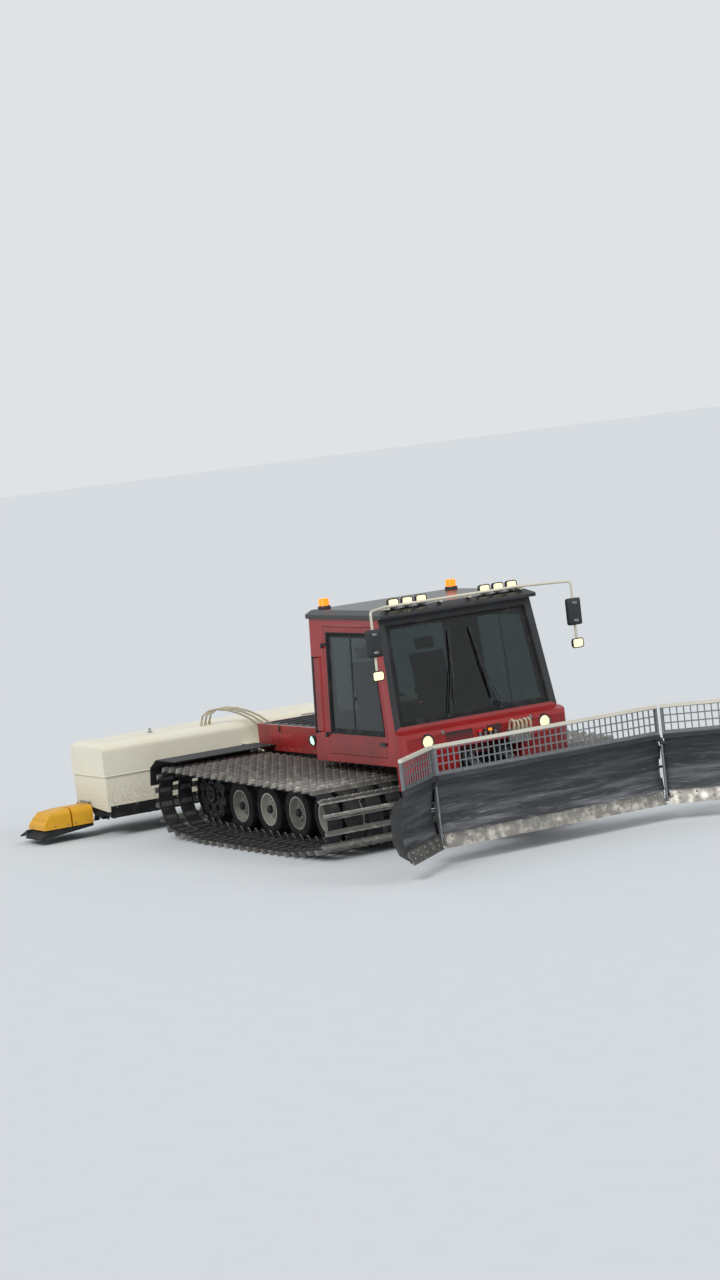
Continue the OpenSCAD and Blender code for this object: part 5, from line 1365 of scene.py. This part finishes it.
# engine housing
bay = {"rear": -2.2, "front": 0.1, "half": 0.66, "deck": 0.93, "banks": (-1.85, -0.75), "slots": 7,
       "pitch": 0.09, "slotZ": (1.01, 1.15), "stack": (0.01, 0.738)}


def makeBay(b):
    shape = Shape("red")
    w = b["half"]
    for bank in b["banks"]:
        for k in range(b["slots"]):
            x = bank + k * b["pitch"]
            section = [(x + 0.043, w - 0.003), (x + 0.048, w + 0.0006), (x + 0.044, w + 0.004),
                       (x + 0.004, w + 0.0145),
                       (x - 0.001, w + 0.013), (x + 0.004, w + 0.0105), (x + 0.036, w + 0.001)]
            tall = [(b["slotZ"][0] - 0.004, 0.55), (b["slotZ"][0] + 0.012, 1), (b["slotZ"][1] - 0.012, 1),
                    (b["slotZ"][1] + 0.004, 0.55)]
            shape.rings([[(u, w + (v - w) * k2, z) for u, v in section] for z, k2 in tall])
    for x in (-1.6, -0.35):  # rubber hold-downs
        shape.use("zinc").box((x - 0.018, w, 1.165), (x + 0.018, w + 0.007, 1.195), chamfer=0.002)
        shape.use("seal").box((x - 0.011, w + 0.006, 1.172), (x + 0.011, w + 0.017, 1.252), chamfer=0.005)
        shape.use("zinc").box((x - 0.016, w - 0.004, 1.2605), (x + 0.016, w + 0.014, 1.266), chamfer=0.002)
    for k in range(12):
        x = b["rear"] + 0.06 + k * (b["front"] - b["rear"] - 0.12) / 11
        shape.use("bolt").bolt((x, w + 0.0003, b["deck"] + 0.03), alongY, 0.007)
    shape.use("dark").lathe([(0.052, 0), (0.052, 0.016), (0.047, 0.022), (0.044, 0.018)],
                            (b["rear"] - 0.0002, 0.55, 1.1), (-1, 0, 0), 28)
    shape.use("tail").lathe([(0.044, 0.012), (0.043, 0.019), (0.03, 0.025), (0.004, 0.028)],
                            (b["rear"] - 0.0002, 0.55, 1.1), (-1, 0, 0), 28)
    shape.mirrored()
    shape.use("dark")
    rim = [(-0.42, 0.985), (0.42, 0.985), (0.42, 1.2), (-0.42, 1.2)]
    bandLoop(shape, rim, lambda y, z, h: (b["rear"] - 0.0003 - h, y, z),
             [(0, 0), (0.004, 0.011), (0.018, 0.011), (0.022, 0)])
    for k in range(9):  # radiator outlet
        z = 1.005 + k * 0.0218
        shape.prism([(b["rear"] - 0.001, z), (b["rear"] - 0.009, z - 0.006), (b["rear"] - 0.0105, z - 0.002),
                     (b["rear"] - 0.001, z + 0.01)],
                    -0.405, 0.405)
    shape.piece("bayTrim", angle=38)
    handles = Shape("zinc")
    for x in (-2.05, -1.0):
        handles.tube(rounded([(x, -0.09, 1.259), (x, -0.09, 1.292), (x, 0.09, 1.292), (x, 0.09, 1.259)],
                             0.02), 0.007, 10)
    handles.piece("hoodHandles", "engine_hood")
    pipe = Shape("zinc")
    sx, sy = b["stack"]
    for z in (1.13, 1.4):
        pipe.lathe([(0.0755, -0.012), (0.079, -0.01), (0.079, 0.01), (0.0755, 0.012)], (sx, sy, z), steps=36)
        pipe.use("bolt").bolt((sx, sy + 0.079, z), alongY, 0.007).use("zinc")
    shield = []  # heat shield with pressed beads
    for z, r in [(1.16 + 0.02 * k, 0.083 + (0.0035 if k % 3 == 1 else 0)) for k in range(11)]:
        shield.append([(sx + r * math.cos(t), sy + r * math.sin(t), z)
                       for t in (math.radians(10 + 160 * k / 16) for k in range(17))]
                      + [(sx + (r + 0.002) * math.cos(t), sy + (r + 0.002) * math.sin(t), z) for t in
                         (math.radians(170 - 160 * k / 16) for k in range(17))])
    pipe.use("zinc").rings(shield)
    flap = Matrix.Rotation(math.radians(24), 3, "Y")
    hinge = Vector((sx - 0.048, sy, 1.9215))
    pipe.use("exhaust").rings([[hinge + flap @ Vector((0.052 + 0.05 * math.cos(t), 0.05 * math.sin(t), z))
                                for t in spokes(28)] for z in (0.0, 0.003)])
    pipe.use("zinc").tube([hinge - Vector((0, 0.02, 0)), hinge + Vector((0, 0.02, 0))], 0.005, 8)
    pipe.piece("stackTrim", angle=40)


makeBay(bay)
# engine under the hood
motor = {"rear": -1.9, "half": 0.43, "low": 0.9304, "top": 1.17, "cylinders": 6, "first": -1.49,
         "pitch": 0.142,
         "hoses": [([(-0.94, 0.345, 1.02), (-0.8, 0.345, 1.02), (-0.74, 0.33, 1.09), (-0.66, 0.29, 1.1)],
                    0.05, 0.034, 16),
                   ([(-1.06, -0.34, 1.13), (-1.14, -0.34, 1.15), (-1.5, -0.3, 1.14), (-1.78, -0.24, 1.12)],
                    0.07, 0.03, 16),
                   ([(-1.56, 0.03, 1.09), (-1.64, 0.03, 1.11), (-1.7, 0.2, 1.12), (-1.79, 0.2, 1.12)], 0.05,
                    0.024, 14),
                   ([(-1.79, -0.3, 0.98), (-1.68, -0.3, 0.97), (-1.62, -0.2, 0.97)], 0.05, 0.026, 14)],
         "pulleys": [(0, 1.005, 0.062), (0.15, 1.07, 0.04), (-0.15, 1.06, 0.045)], "pulleyX": -1.622,
         "beltX": -1.6335,
         "belt": [(0.15, 1.104), (-0.155, 1.1), (-0.193, 1.05), (-0.03, 0.95), (0.04, 0.955), (0.188, 1.06)]}


def makeMotor(m):
    x0, w, low, top = m["rear"], m["half"], m["low"], m["top"]
    shape = Shape("engine")
    shape.box((-1.62, -0.24, low), (-0.66, 0.24, 1.055), chamfer=0.012)
    shape.box((-0.66, -0.3, low), (-0.5, 0.3, 1.12), chamfer=0.03)
    for k in range(9):  # crankcase ribs
        x = -1.56 + k * 0.105
        for side in (-1, 1):
            shape.box((x, side * 0.25 - 0.014, low + 0.004), (x + 0.016, side * 0.25 + 0.014, 1.04),
                      chamfer=0.004)
    shape.use("zinc").box((-1.57, -0.105, 1.055), (-0.7, 0.125, 1.078), chamfer=0.004)
    shape.use("dark").rings([[(x, 0.01 + s * (0.098 - d), z)
                              for x, s in ((-1.56 + d, -1), (-0.71 - d, -1), (-0.71 - d, 1), (-1.56 + d, 1))]
                             for d, z in ((0, 1.078), (0.002, 1.125), (0.014, 1.146), (0.03, 1.152))])
    for k in range(m["cylinders"]):
        x = m["first"] + k * m["pitch"]
        shape.use("dark").box((x - 0.006, -0.07, 1.149), (x + 0.006, 0.09, 1.159), chamfer=0.003)
        shape.lathe([(0.017, 0), (0.017, 0.012), (0.011, 0.016), (0.01, 0.024)],
                    (x + 0.06, 0.01, 1.146), steps=16)
        for side in (-1, 1):
            shape.use("bolt").bolt((x, 0.01 + side * 0.106, 1.0785), alongZ, 0.008)
        shape.use("zinc").tube(rounded([(x, 0.12, 1.03), (x, 0.2, 1.06), (x, 0.255, 1.085)], 0.04, 4), 0.024,
                               12)
        shape.use("exhaust").tube(rounded([(x, -0.1, 1.02), (x, -0.19, 1.035), (x + 0.03, -0.24, 1.05)], 0.04,
                                          4), 0.021, 12)
    shape.use("zinc").tube(rounded([(-1.56, 0.28, 1.095), (-0.74, 0.28, 1.095), (-0.62, 0.3, 1.1),
                                    (-0.56, 0.37, 1.085)], 0.08), 0.04, 18)
    shape.use("exhaust").tube([(-1.53, -0.255, 1.055), (-0.74, -0.255, 1.055)], 0.031, 16)
    shape.use("engine").lathe([(0.03, -0.06), (0.062, -0.05), (0.074, -0.02), (0.074, 0.01), (0.05, 0.03),
                               (0.04, 0.05), (0.062, 0.06),
                               (0.07, 0.08), (0.058, 0.105), (0.03, 0.11)], (-1.0, -0.34, 1.075),
                              (-1, 0, 0), 28)
    shape.use("dark").lathe([(0.03, -0.24), (0.078, -0.235), (0.082, -0.225), (0.082, -0.1), (0.086, -0.095),
                             (0.086, -0.08), (0.082, -0.075),
                             (0.082, 0.16), (0.076, 0.17), (0.04, 0.172), (0.038, 0.21)],
                            (-1.15, 0.345, 1.02), alongX, 32)
    for x in (-1.3, -1.08):
        shape.use("zinc").lathe([(0.083, -0.008), (0.0865, -0.006), (0.0865, 0.006), (0.083, 0.008)],
                                (x, 0.345, 1.02), alongX, 32)
    for path, bend, r, steps in m["hoses"]:
        shape.use("hose").tube(rounded(path, bend), r, steps)
    # radiator with its shroud
    shape.use("engine").box((x0, -w, low), (x0 + 0.065, w, top), chamfer=0.006)
    shape.use("dark").box((x0 + 0.065, -w + 0.02, low), (x0 + 0.1, w - 0.02, top - 0.012), chamfer=0.008)
    for k in range(40):
        y = -w + 0.03 + k * (2 * w - 0.06) / 39
        shape.use("zinc").box((x0 - 0.0002, y - 0.003, low + 0.03), (x0 + 0.004, y + 0.003, top - 0.03))
    shape.use("zinc").lathe([(0.026, 0), (0.03, 0.002), (0.03, 0.014), (0.024, 0.018), (0.008, 0.02)],
                            (x0 + 0.032, 0.3, top - 0.001), steps=24)
    for y, z, r in m["pulleys"]:
        shape.use("zinc").lathe([(0.012, 0), (r - 0.012, 0.002), (r, 0), (r, 0.006), (r - 0.006, 0.011),
                                 (r, 0.016), (r, 0.022),
                                 (r - 0.014, 0.02), (0.014, 0.024)], (m["pulleyX"], y, z), (-1, 0, 0), 28)
    loop = [(m["beltX"], y, z) for y, z in m["belt"]]
    shape.use("seal").tube(loop, 0.005, 8, looped=True)
    shape.use("dark").lathe([(0.024, 0), (0.03, 0.003), (0.03, 0.014), (0.022, 0.02), (0.006, 0.021)],
                            (-0.76, 0.05, 1.146), steps=20)
    # battery, its posts and cables
    shape.use("dark").box((-0.7, -0.42, low), (-0.5, -0.31, 1.1), chamfer=0.006)
    for x in (-0.67, -0.53):
        shape.use("zinc").lathe([(0.011, 0), (0.011, 0.014), (0.016, 0.015), (0.016, 0.026)],
                                (x, -0.365, 1.1), steps=12)
        shape.use("hose").tube(rounded([(x, -0.365, 1.12), (x - 0.05, -0.36, 1.15), (x - 0.14, -0.3, 1.1),
                                        (x - 0.17, -0.2, 1.03)], 0.05, 4),
                               0.007, 8)
    for k in range(3):  # injection lines
        y = 0.15 + 0.014 * k
        shape.use("zinc").tube(rounded([(-1.5 + 0.3 * k, y, 1.08), (-1.45 + 0.3 * k, y, 1.12),
                                        (-0.95, y, 1.125), (-0.9, y, 1.08)], 0.03, 3), 0.004, 8)
    shape.piece("motor", replaces=["engine_block"], bevel=0.0015, angle=38)


makeMotor(motor)

guards = Shape("bolt")
for x in (-1.82, -2.02, -2.22):
    for y in (0.72, 2.06):
        guards.bolt((x, y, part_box("mudguards")[1][2] + 0.0002), alongZ, 0.009)
guards.mirrored().piece("guardBolts")
print("engine housing dressed")

# tiller
tiller = {"rear": -4.13, "front": -3.16, "half": 2.42, "lip": 0.012, "capZ": 0.79, "top": 1.22,
          "drum": (-3.66, 0.385), "drumR": 0.15, "drumEnds": (0.0255, 2.4055), "fingers": 40,
          "combHalf": 2.39, "rings": 17, "root": (-4.132, 0.475), "slope": 120.0}


def makeTiller(t):
    shape = Shape("cream")
    x0, x1, w, z = t["rear"], t["front"], t["half"] + t["lip"], t["capZ"] + 0.008
    loop = [(x0, -w, z), (x1, -w, z), (x1, w, z), (x0, w, z)]
    rolled = []
    for x, y, h in loop:  # rolled lip round the cap
        sx, sy = (1 if x > -3.6 else -1), (1 if y > 0 else -1)
        arc = [(x - sx * 0.012 + sx * 0.014 * math.cos(a), y - sy * 0.012 + sy * 0.014 * math.sin(a), h)
               for a in (math.radians(90 * i / 4) for i in range(5))]
        rolled += arc if sx * sy > 0 else arc[::-1]
    shape.tube(rolled, 0.006, 8, looped=True)
    for y in (-1.5, 1.5):  # lifting eyes
        ring = [(-3.62 + 0.026 * math.cos(a), y, t["top"] + 0.024 + 0.026 * math.sin(a)) for a in spokes(20)]
        shape.use("zinc").tube(ring, 0.007, 8, looped=True)
        shape.box((-3.66, y - 0.03, t["top"] - 0.002), (-3.58, y + 0.03, t["top"] + 0.005), chamfer=0.002)
    for y in (-0.375, -0.3, 0.3, 0.375):
        for h in (0.82, 0.895):
            shape.use("bolt").bolt((x1 + 0.0365, y, h), alongX, 0.011)
    for k in range(17):
        y = -2.3 + 4.6 * k / 16
        shape.use("bolt").bolt((x1 - 0.0118, y, 0.39), alongX, 0.008)
        shape.use("bolt").bolt((x0 + 0.0118, y, 0.6), (-1, 0, 0), 0.008)
    shape.use("seal").prism([(x1 - 0.0135, 0.41), (x1 - 0.0118, 0.41), (x1 - 0.004, 0.26),
                             (x1 - 0.011, 0.255)], -t["half"] + 0.03, t["half"] - 0.03)
    shape.piece("hoodTrim", "tiller", angle=40)
    a = math.radians(t["slope"])
    along, out = Vector((math.cos(a), 0, -math.sin(a))), Vector((-math.sin(a), 0, -math.cos(a)))
    root = Vector((t["root"][0], 0, t["root"][1])) + out * 0.0222
    clamp = Shape("zinc")
    strip = [root + along * u + out * v for u, v in ((0.02, 0), (0.02, 0.005), (0.075, 0.005), (0.075, 0))]
    clamp.rings([[p + Vector((0, y, 0)) for p in strip] for y in (-2.37, 2.37)])
    for k in range(25):
        clamp.use("bolt").bolt(root + along * 0.048 + out * 0.0052 + Vector((0, -2.32 + 4.64 * k / 24, 0)),
                               out, 0.009)
    for k in range(t["fingers"]):  # moulded ribs on the fingers
        step = 2 * t["combHalf"] / t["fingers"]
        y = t["combHalf"] - k * step - step * 0.3
        for d in (-0.018, 0.018):
            section = [root + along * u + out * v + Vector((0, y + d, 0))
                       for u, v in ((0.1, -0.001), (0.12, 0.007), (0.4, 0.005), (0.425, -0.001))]
            clamp.use("comb").rings([[p + Vector((0, s, 0)) for p in section] for s in (-0.005, 0.005)])
    clamp.piece("combClamp", "tiller", angle=40)
    dx, dz = t["drum"]
    y0, y1 = t["drumEnds"]
    drum = Shape("hull").lathe([(0.0348, y0), (0.0348, y0 + 0.035), (t["drumR"] - 0.006, y0 + 0.035),
                                (t["drumR"], y0 + 0.041),
                                (t["drumR"], y1 - 0.041), (t["drumR"] - 0.006, y1 - 0.035),
                                (0.0348, y1 - 0.035), (0.0348, y1)],
                               (dx, 0, dz), alongY, 40)
    step = (y1 - y0 - 0.13) / t["rings"]
    for i in range(t["rings"] * 2 - 1):
        for half in (0, math.pi):
            spin = Matrix.Rotation(math.radians(i * 20.5) + half, 3, "Y")
            y = y0 + 0.065 + (i / 2 + 0.5) * step

            def toothRing(outline, wide):
                return [[Vector((dx, y + s * wide, dz)) + spin @ Vector((r, 0, d)) for r, d in outline]
                        for s in (-1, 1)]
            r = t["drumR"]
            drum.use("hull").rings(toothRing([(r - 0.006, -0.031), (r + 0.012, -0.03), (r + 0.036, -0.012),
                                              (r + 0.036, 0.008),
                                              (r + 0.006, 0.03), (r - 0.006, 0.031)], 0.013))
            drum.use("edge").rings(toothRing([(r + 0.012, -0.031), (r + 0.0535, -0.009), (r + 0.0545, 0.004),
                                              (r + 0.048, 0.007), (r + 0.034, 0.0085)], 0.011))
            drum.use("bolt").lathe([(0.006, 0.0), (0.006, 0.004)],
                                   Vector((dx, y + 0.013, dz)) + spin @ Vector((r + 0.016, 0, 0)), alongY, 6)
    for side, word in sides:
        drum.piece("toothedDrum" + word.title(), "drum_" + word, replaces=["drum_" + word],
                   side=side, angle=38)


makeTiller(tiller)
finisher = {"axisY": 2.4345, "y0": 2.4545, "split": 2.7585, "top": 0.428}


def makeFinishers(n):
    shape = Shape("bolt")
    for y in (n["y0"] + 0.05, n["split"] - 0.05, n["split"] + 0.06, n["split"] + 0.24):
        shape.bolt((-3.6, y, 0.225), alongX, 0.009)
    for x in (-3.95, -3.845, -3.74):
        shape.use("zinc").box((x - 0.02, n["axisY"] + 0.012, n["top"] - 0.004),
                              (x + 0.02, n["y0"] + 0.055, n["top"] + 0.003), chamfer=0.002)
        shape.use("bolt").bolt((x, n["y0"] + 0.035, n["top"] + 0.003), alongZ, 0.008)
    for k in range(9):  # ribs of the rubber apron
        y = n["y0"] + 0.05 + k * 0.075
        section = [(-4.092, 0.168), (-4.33, 0.0795), (-4.326, 0.0885), (-4.098, 0.177)]
        shape.use("comb").prism([(x, z + 0.006) for x, z in section], y - 0.01, y + 0.01)
    return shape


for side, word in sides:
    makeFinishers(finisher).piece("finisherTrim" + word.title(), "finisher_" + word, side=side)
    refinish("finisher_" + word, "comb", lambda c: c.z < 0.187 or (c.x < -4.12 and c.z < 0.19))
    refinish("finisher_" + word, "zinc", lambda c: abs(c.y) < 2.4495 and 0.424 < c.z < 0.456)
    softenNode("finisher_" + word, 0.012, 3)
print("tiller dressed")
